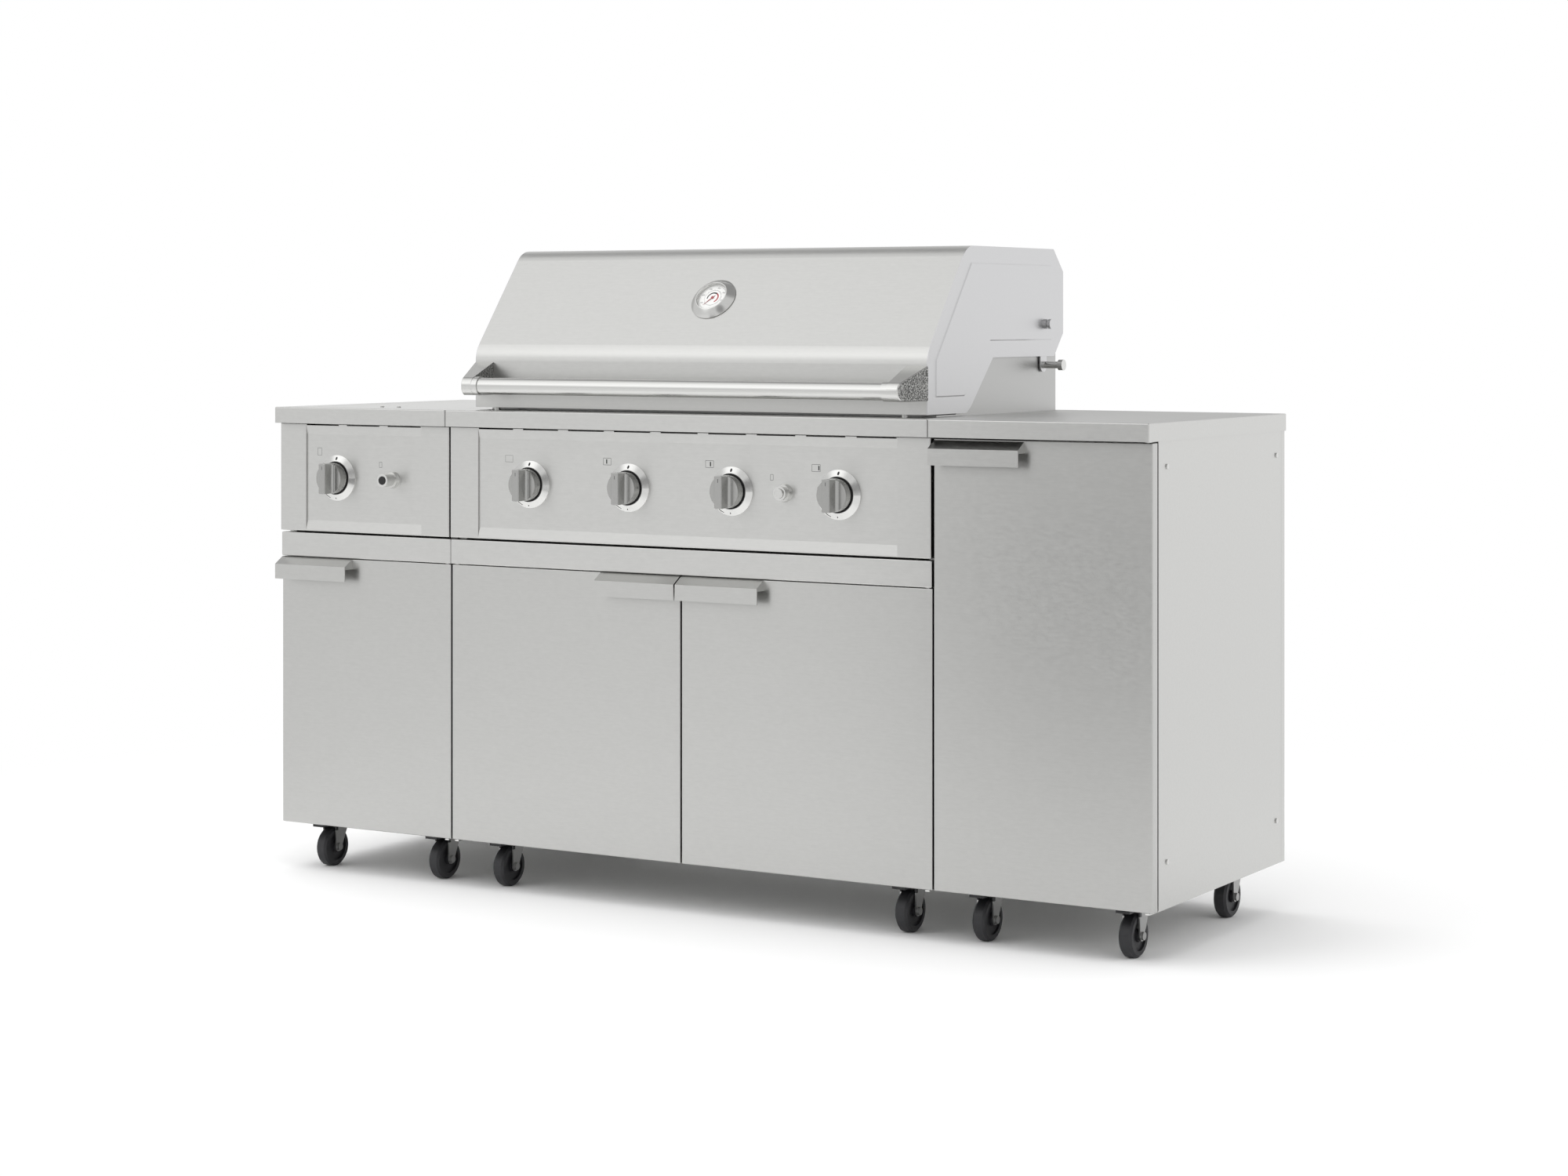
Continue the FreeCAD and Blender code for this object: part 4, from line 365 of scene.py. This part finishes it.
# Moulded black polymer, dull and slightly gritty
tyre, tree, coords = new_material("black_polymer_tread")
grit = noise(tree, coords["Object"], (2, 2, 2), 2.0)
finish(
    tree,
    Base_Color=toned(tree, "#242427", remap(tree, grit, 0.3, 0.7, 0.85, 1.0)),
    Roughness=remap(tree, grit, 0.3, 0.7, 0.42, 0.55),
)
finish_nodes(tyre, *[name for name in NODES if name.endswith("_wheel")])

# The bezels and the igniter housings: cones turned from stainless bar, their fine turning marks
# running round, so that what they mirror fans out from the middle. The bezels carry printed
# marks, and a black rubber ring on their inner edge closes the gap round each knob; its black is
# partly the seal's own colour and partly painted shade for the shadowed gap.
KNOB_AT = {
    "side_burner_knob": -0.784,
    "burner_knob_1": -0.3294,
    "burner_knob_2": -0.1098,
    "burner_knob_3": 0.1098,
    "burner_knob_4": 0.3294,
}
KNOB_LEVEL = 0.7645
PANEL_FACE = -0.272
BEZEL_CONE = (0.033, 0.044, 0.007, 0.0015)
MARK_PROUD = 0.00006


def turned_metal(name, colour, roughness, spread, axis):
    """Metal turned on a lathe about an axis."""
    made, tree, coords = new_material(name)
    cloud = noise(tree, coords["Object"], (3, 3, 3), 3.0)
    finish(
        tree,
        Base_Color=toned(tree, colour, remap(tree, cloud, 0.3, 0.7, 0.97, 1.0)),
        Metallic=1.0,
        Roughness=remap(tree, cloud, 0.3, 0.7, roughness - 0.02, roughness + 0.02),
        Anisotropic=spread,
        Tangent=to_world(tree, axis),
    )
    return made


def printed_ink(name, colour):
    """Flat printed ink, a little thinner here and there."""
    made, tree, coords = new_material(name)
    wear = noise(tree, coords["Object"], (0.6, 0.6, 0.6), 2.0)
    thinned = remap(tree, wear, 0.3, 0.7, 0.9, 1.0)
    finish(tree, Base_Color=toned(tree, colour, thinned), Roughness=0.5)
    return made


def start_mesh(name, kind, **sizes):
    """Adds a primitive and opens it in edit mode, all of it selected."""
    bpy.ops.object.select_all(action="DESELECT")
    getattr(bpy.ops.mesh, f"primitive_{kind}_add")(**sizes)
    made = bpy.context.object
    made.name = name
    bpy.ops.object.mode_set(mode="EDIT")
    bpy.ops.mesh.select_mode(type="VERT")
    bpy.ops.mesh.select_all(action="SELECT")
    return made


def turned_rings(name, rings, steps=96):
    """Draws a circle out ring by ring, each with its radius and level, and stays in edit mode."""
    radius, level = rings[0]
    made = start_mesh(name, "circle", vertices=steps, radius=radius)
    bpy.ops.transform.translate(value=(0, 0, level))
    for wider, higher in rings[1:]:
        step = {"value": (0, 0, higher - level)}
        bpy.ops.mesh.extrude_region_move(TRANSFORM_OT_translate=step)
        grown = (wider / radius, wider / radius, 1)
        bpy.ops.transform.resize(value=grown, center_override=(0, 0, higher))
        radius, level = wider, higher
    return made


def arc_band(name, inner, outer, level, start, end, thin=1.0):
    """A flat band round the Z axis, clockwise from start to end and thinner at its start."""
    turned_rings(name, [(inner, level), (outer, level)], 120)
    bpy.ops.mesh.select_mode(type="FACE")
    bpy.ops.object.mode_set(mode="OBJECT")
    made = bpy.context.object
    for face in made.data.polygons:
        clock = math.degrees(math.atan2(face.center.x, face.center.y)) % 360
        face.select = not 0 < (clock - start) % 360 < end - start
    bpy.ops.object.mode_set(mode="EDIT")
    bpy.ops.mesh.delete(type="FACE")
    bpy.ops.object.mode_set(mode="OBJECT")
    for vertex in made.data.vertices:
        clock = (math.degrees(math.atan2(vertex.co.x, vertex.co.y)) - start + 1) % 360 - 1
        share = thin + (1 - thin) * min(1, max(0, clock / (end - start)) ** 0.5)
        radius = vertex.co.xy.length
        wanted = (inner + outer) / 2 + (radius - (inner + outer) / 2) * share
        vertex.co.xy *= wanted / radius
    return made


def oval(name, across, along, radius, clock):
    """A flat oval at a radius from the Z axis, turned with the clock."""
    made = start_mesh(name, "circle", vertices=24, radius=0.5, fill_type="TRIFAN")
    bpy.ops.transform.resize(value=(across, along, 1), center_override=(0, 0, 0))
    bpy.ops.transform.translate(value=(0, radius, 0))
    bpy.ops.transform.rotate(value=math.radians(clock), orient_axis="Z", center_override=(0, 0, 0))
    bpy.ops.object.mode_set(mode="OBJECT")
    return made


def joined(name, pieces):
    """One mesh of several."""
    bpy.ops.object.select_all(action="DESELECT")
    for piece in pieces:
        piece.select_set(True)
    bpy.context.view_layer.objects.active = pieces[0]
    bpy.ops.object.join()
    pieces[0].name = name
    return pieces[0]


def put_in_place(piece, material, place, turn):
    """Turns and moves a finished piece to its place in the frame and gives it its material."""
    piece.data.materials.clear()
    piece.data.materials.append(material)
    bpy.ops.object.select_all(action="DESELECT")
    piece.select_set(True)
    bpy.context.view_layer.objects.active = piece
    piece.location = place
    piece.rotation_euler = turn
    bpy.ops.object.transform_apply(location=True, rotation=True, scale=True)


def copy_of(piece, name):
    """A copy with a mesh of its own."""
    made = piece.copy()
    made.data = piece.data.copy()
    made.name = name
    bpy.context.scene.collection.objects.link(made)
    return made


FACING_FRONT = (math.pi / 2, 0, 0)
LATHE_AXIS = (0.01, 1, 0.01)
finish_nodes(
    turned_metal("turned_bezel_steel", "#D9D9D7", 0.2, 0.6, LATHE_AXIS), "control_bezels"
)
finish_nodes(
    turned_metal("turned_button_steel", "#D6D6D4", 0.18, 0.5, LATHE_AXIS), "grill_igniter_button"
)
black_ink = printed_ink("black_ink", "#1A1A1B")
inner, outer, top, rim = BEZEL_CONE
marks = joined(
    "bezel_marks",
    [
        arc_band("low_to_high_arc", 0.0401, 0.0421, 0, 200, 262, 0.4),
        oval("off_mark", 0.0042, 0.0064, 0.0377, 2),
        oval("high_mark", 0.0019, 0.0024, 0.0412, 269),
        oval("low_mark", 0.0022, 0.0026, 0.0392, 181),
    ],
)
for vertex in marks.data.vertices:
    down = (vertex.co.xy.length - inner) / (outer - inner)
    vertex.co.z = top + (rim - top) * down + MARK_PROUD
# A black ring on each bezel's inner edge: a rubber seal, and painted shade for the shadowed gap
# round the knob
seal_and_gap_shade = turned_rings(
    "knob_seal_and_gap_shade",
    [
        (0.0298, 0.003),
        (0.0298, 0.007),
        (0.0301, 0.0074),
        (0.0317, 0.0074),
        (0.032, 0.0071),
        (0.032, 0.007),
    ],
)
bpy.ops.object.mode_set(mode="OBJECT")
# Moulded rubber: a matt black that stays dark from every side, partly the seal's own colour and
# partly painted shade for the shadow in the gap round the knob
rubber_and_gap_shade, tree, coords = new_material("black_rubber_and_gap_shade")
grit = noise(tree, coords["Object"], (1, 1, 1), 2.0)
finish(
    tree,
    Base_Color=hex_colour("#0E0E0F"),
    Roughness=remap(tree, grit, 0.3, 0.7, 0.55, 0.7),
)
for knob, across in KNOB_AT.items():
    for model, material in ((marks, black_ink), (seal_and_gap_shade, rubber_and_gap_shade)):
        piece = copy_of(model, f"{model.name}_{knob}")
        put_in_place(piece, material, (across, PANEL_FACE, KNOB_LEVEL), FACING_FRONT)
        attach(piece, "island")
bpy.data.objects.remove(marks)
bpy.data.objects.remove(seal_and_gap_shade)

# The knobs: zinc castings with a satin nickel face and a bar across the front. A short printed
# line near the bar's top shows where the knob points.
POINTER_SIZE = (0.0009, 0.0065)
POINTER_RISE = 0.0205
KNOB_FRONT = -0.32
finish_nodes(satin_metal("satin_nickel", "#AEAEAC", 0.24, 4), *KNOB_AT)
line = start_mesh("pointer_line", "plane", size=1)
bpy.ops.transform.resize(value=(*POINTER_SIZE, 1), center_override=(0, 0, 0))
bpy.ops.mesh.bevel(affect="VERTICES", offset=0.0003, segments=3)
bpy.ops.object.mode_set(mode="OBJECT")
for knob, across in KNOB_AT.items():
    piece = copy_of(line, f"pointer_{knob}")
    place = (across, KNOB_FRONT - MARK_PROUD, KNOB_LEVEL + POINTER_RISE)
    put_in_place(piece, black_ink, place, FACING_FRONT)
    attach(piece, knob + "_body")
bpy.data.objects.remove(line)
# The side burner's igniter button is moulded plastic, with a fine eroded texture
black, tree, coords = new_material("black_moulded_plastic")
grit = noise(tree, coords["Object"], (0.7, 0.7, 0.7), 2.0)
relief = {"Height": grit, "Strength": 0.2, "Distance": 0.0001}
finish(
    tree,
    Base_Color=hex_colour("#141415"),
    Roughness=remap(tree, grit, 0.3, 0.7, 0.3, 0.42),
    Normal=add_node(tree, "Bump", relief).outputs[0],
)
finish_nodes(black, "side_igniter_button")

# The printed marks over the controls: thin grey frames, with a black bar in the place of the
# burner that the knob serves, and small upright frames over the side burner and the igniters
FRAME_LINE = 0.0006
FRAMES = {
    "mark_burner_1": ((-0.3772, 0.8112), (0.0175, 0.013), "#707070"),
    "mark_burner_2": ((-0.1576, 0.8110), (0.0175, 0.013), "#3C3C3C"),
    "mark_burner_3": ((0.0628, 0.8117), (0.0175, 0.013), "#303030"),
    "mark_burner_4": ((0.2832, 0.8101), (0.0175, 0.013), "#444444"),
    "mark_side_burner": ((-0.8274, 0.8143), (0.0105, 0.015), "#606060"),
    "mark_grill_igniter": ((0.1927, 0.7913), (0.0063, 0.011), "#303030"),
    "mark_side_igniter": ((-0.6790, 0.7921), (0.0066, 0.011), "#505050"),
}
BARS = {"mark_burner_2": -0.0011, "mark_burner_3": 0.0020, "mark_burner_4": 0.0056}
BAR_SIZE = (0.0025, 0.0080)

for name, ((across, up), (wide, tall), grey) in FRAMES.items():
    mark = start_mesh(name, "plane", size=1)
    bpy.ops.transform.resize(value=(wide, tall, 1), center_override=(0, 0, 0))
    bpy.ops.mesh.bevel(affect="VERTICES", offset=0.0008, segments=3)
    bpy.ops.mesh.inset(thickness=FRAME_LINE)
    bpy.ops.mesh.delete(type="FACE")
    bpy.ops.object.mode_set(mode="OBJECT")
    ink = printed_ink("grey_ink_" + name, grey)
    put_in_place(mark, ink, (across, PANEL_FACE - MARK_PROUD, up), FACING_FRONT)
    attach(mark, "island")
for name, shift in BARS.items():
    across, up = FRAMES[name][0]
    bar = start_mesh(name + "_bar", "plane", size=1)
    bpy.ops.transform.resize(value=(*BAR_SIZE, 1), center_override=(0, 0, 0))
    bpy.ops.mesh.bevel(affect="VERTICES", offset=0.0005, segments=3)
    bpy.ops.object.mode_set(mode="OBJECT")
    put_in_place(bar, black_ink, (across + shift, PANEL_FACE - MARK_PROUD, up), FACING_FRONT)
    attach(bar, "island")

# The hood's cheeks are pressed from the same steel with a finer satin face. The handle is a
# brushed steel tube between two cast brackets, whose outer faces are left as cast.
BRACKET_SIDE = 0.4405
BRACKET_FACING = 0.93
finish_nodes(satin_metal("satin_cheek_steel", "#CFCFD0", 0.38), "hood_cheeks")
handle, tree, coords = new_material("handle_steel_and_cast_brackets")
streaks = noise(tree, coords["Object"], (STREAK_MM[0], STREAK_MM[1], STREAK_MM[1]))
grains = noise(tree, coords["Object"], (2.4, 2.4, 2.4), 2.0)
side = add_node(tree, "SeparateXYZ", {0: coords["Object"]}).outputs["X"]
side = calculate(tree, "GREATER_THAN", calculate(tree, "ABSOLUTE", side), BRACKET_SIDE)
facing = add_node(tree, "SeparateXYZ", {0: coords["Normal"]}).outputs["X"]
facing = calculate(tree, "GREATER_THAN", calculate(tree, "ABSOLUTE", facing), BRACKET_FACING)
cast = calculate(tree, "MULTIPLY", side, facing)
brushed = toned(tree, "#D0D0CE", remap(tree, streaks, 0.25, 0.75, 0.965, 1.0))
as_cast = toned(tree, "#C0C0BE", remap(tree, grains, 0.38, 0.62, 0.12, 1.0))
both = {"Fac": cast, "Color1": brushed, "Color2": as_cast}
roughened = calculate(tree, "MULTIPLY", grains, cast)
relief = {"Height": roughened, "Strength": 0.6, "Distance": 0.0003}
finish(
    tree,
    Base_Color=add_node(tree, "MixRGB", both).outputs[0],
    Metallic=1.0,
    Roughness=remap(tree, cast, 0, 1, 0.22, 0.5),
    Anisotropic=0.4,
    Tangent=across_the_grain(tree, coords),
    Normal=add_node(tree, "Bump", relief).outputs[0],
)
finish_nodes(handle, "hood_handle")

# The fasteners: screws, the two long hood pins and the doors' hinge leaves, all of bright steel
# with the close gloss that cold heading and tumbling leave.
finish_nodes(bright_steel, "fasteners")

# The hood's thermometer: a case turned from stainless bar with a conical rim and a probe
# through the hood, a white enamelled dial printed in black, grey and red, and a glass.
GAUGE_AT = (0, -0.157, 1.10696)
GAUGE_TURN = (math.radians(51.907), 0, 0)
GAUGE_AXIS = (0.01, -math.sin(GAUGE_TURN[0]), math.cos(GAUGE_TURN[0]))
DIAL_RADIUS = 0.0295
DIAL_LEVEL = 0.005
DIAL_FACE = 0.00525
PRINT_LEVEL = 0.00531
INNER_LINE = (0.0168, 0.0171)
OUTER_LINE = (0.0268, 0.0271)
TICK_WIDTH = 0.00035
REST_CLOCK = 220
SWEEP = 270
FIRST_NUMBER = 20
NUMBER_STEP = 45
NUMBER_RADIUS = 0.0228
NUMBER_SIZE = 0.0042
NUMBERS = ("100", "200", "300", "400", "500", "600")

case = turned_rings(
    "thermometer_case",
    [
        (0.0005, -0.04),
        (0.0037, -0.04),
        (0.0045, -0.0385),
        (0.0045, 0.0),
        (0.0437, 0.0),
        (0.0445, 0.0006),
        (0.0445, 0.0017),
        (0.0440, 0.0023),
        (0.0321, 0.0119),
        (0.0312, 0.0123),
        (0.0301, 0.0123),
        (DIAL_RADIUS, 0.0117),
        (DIAL_RADIUS, DIAL_LEVEL),
    ],
    128,
)
bpy.ops.mesh.edge_face_add()
bpy.ops.mesh.select_all(action="SELECT")
bpy.ops.mesh.normals_make_consistent(inside=False)
bpy.ops.object.mode_set(mode="OBJECT")
bpy.ops.object.shade_smooth_by_angle(angle=math.radians(35))
put_in_place(
    case, turned_metal("turned_case_steel", "#D4D4D2", 0.2, 0.7, GAUGE_AXIS), GAUGE_AT, GAUGE_TURN
)
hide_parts("thermometer")
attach(case, "hood")

dial = turned_rings(
    "thermometer_dial", [(DIAL_RADIUS - 0.0002, DIAL_LEVEL), (DIAL_RADIUS - 0.0004, DIAL_FACE)]
)
bpy.ops.mesh.edge_face_add()
bpy.ops.object.mode_set(mode="OBJECT")
# Stoved enamel: an even white with little gloss
dial_white, tree, coords = new_material("white_dial_enamel")
cloud = noise(tree, coords["Object"], (8, 8, 8), 2.0)
finish(
    tree,
    Base_Color=toned(tree, "#DEDEDC", remap(tree, cloud, 0.3, 0.7, 0.98, 1.0)),
    Roughness=0.4,
)
put_in_place(dial, dial_white, GAUGE_AT, GAUGE_TURN)
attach(dial, "hood")

scale_marks = [
    arc_band("inner_scale_line", *INNER_LINE, 0, 0, 360),
    arc_band("outer_scale_line", *OUTER_LINE, 0, 0, 360),
]
for name, count, length in (("fine_ticks", 54, 0.0011), ("numbered_ticks", 6, 0.0022)):
    ticks = start_mesh(name, "plane", size=1)
    bpy.ops.transform.resize(value=(TICK_WIDTH, length, 1), center_override=(0, 0, 0))
    bpy.ops.transform.translate(value=(0, INNER_LINE[1] + length / 2, 0))
    turn = math.radians(REST_CLOCK)
    bpy.ops.transform.rotate(value=turn, orient_axis="Z", center_override=(0, 0, 0))
    turn = -math.radians(SWEEP)
    bpy.ops.mesh.spin(steps=count, angle=turn, dupli=True, center=(0, 0, 0), axis=(0, 0, 1))
    bpy.ops.object.mode_set(mode="OBJECT")
    scale_marks.append(ticks)
for turns, number in enumerate(NUMBERS):
    clock = math.radians(REST_CLOCK + FIRST_NUMBER + NUMBER_STEP * turns)
    bpy.ops.object.select_all(action="DESELECT")
    place = (NUMBER_RADIUS * math.sin(clock), NUMBER_RADIUS * math.cos(clock), 0)
    bpy.ops.object.text_add(location=place)
    text = bpy.context.object
    text.data.body = number
    text.data.size = NUMBER_SIZE
    text.data.align_x = "CENTER"
    text.data.align_y = "CENTER"
    bpy.ops.object.convert(target="MESH")
    bpy.ops.object.transform_apply(location=True, rotation=True, scale=True)
    scale_marks.append(bpy.context.object)
grey_ink = printed_ink("grey_dial_ink", "#38383A")
red_ink = printed_ink("red_dial_ink", "#A01824")
prints = (
    (joined("dial_scale", scale_marks), grey_ink),
    (arc_band("dial_black_arc", 0.0094, 0.0128, 0, 258, 393, 0.5), black_ink),
    (arc_band("dial_red_arc", 0.0097, 0.0125, 0, 393, 507, 1.0), red_ink),
)
print_at = Vector(GAUGE_AT) + PRINT_LEVEL * Vector((0, *GAUGE_AXIS[1:]))
for piece, ink in prints:
    put_in_place(piece, ink, print_at, GAUGE_TURN)
    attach(piece, "hood")

glass = turned_rings(
    "thermometer_glass",
    [
        (DIAL_RADIUS - 0.0003, 0.0092),
        (DIAL_RADIUS - 0.0003, 0.0098),
        (DIAL_RADIUS - 0.0006, 0.01),
    ],
)
bpy.ops.mesh.edge_face_add()
bpy.ops.object.mode_set(mode="OBJECT")
# Flat float glass, clear but for a faint sheen
clear, tree, coords = new_material("clear_glass")
waves = noise(tree, coords["Object"], (20, 20, 20), 1.0)
finish(
    tree,
    Base_Color=(1, 1, 1, 1),
    Roughness=remap(tree, waves, 0.3, 0.7, 0.02, 0.04),
    Alpha=0.05,
)
put_in_place(glass, clear, GAUGE_AT, GAUGE_TURN)
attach(glass, "hood")
# The needle is stamped sheet, sprayed red with some gloss
needle_paint, tree, coords = new_material("red_needle_paint")
gloss = noise(tree, coords["Object"], (2, 2, 2), 2.0)
finish(
    tree,
    Base_Color=hex_colour("#8C141C"),
    Roughness=remap(tree, gloss, 0.3, 0.7, 0.35, 0.45),
)
finish_nodes(needle_paint, "thermometer_needle")
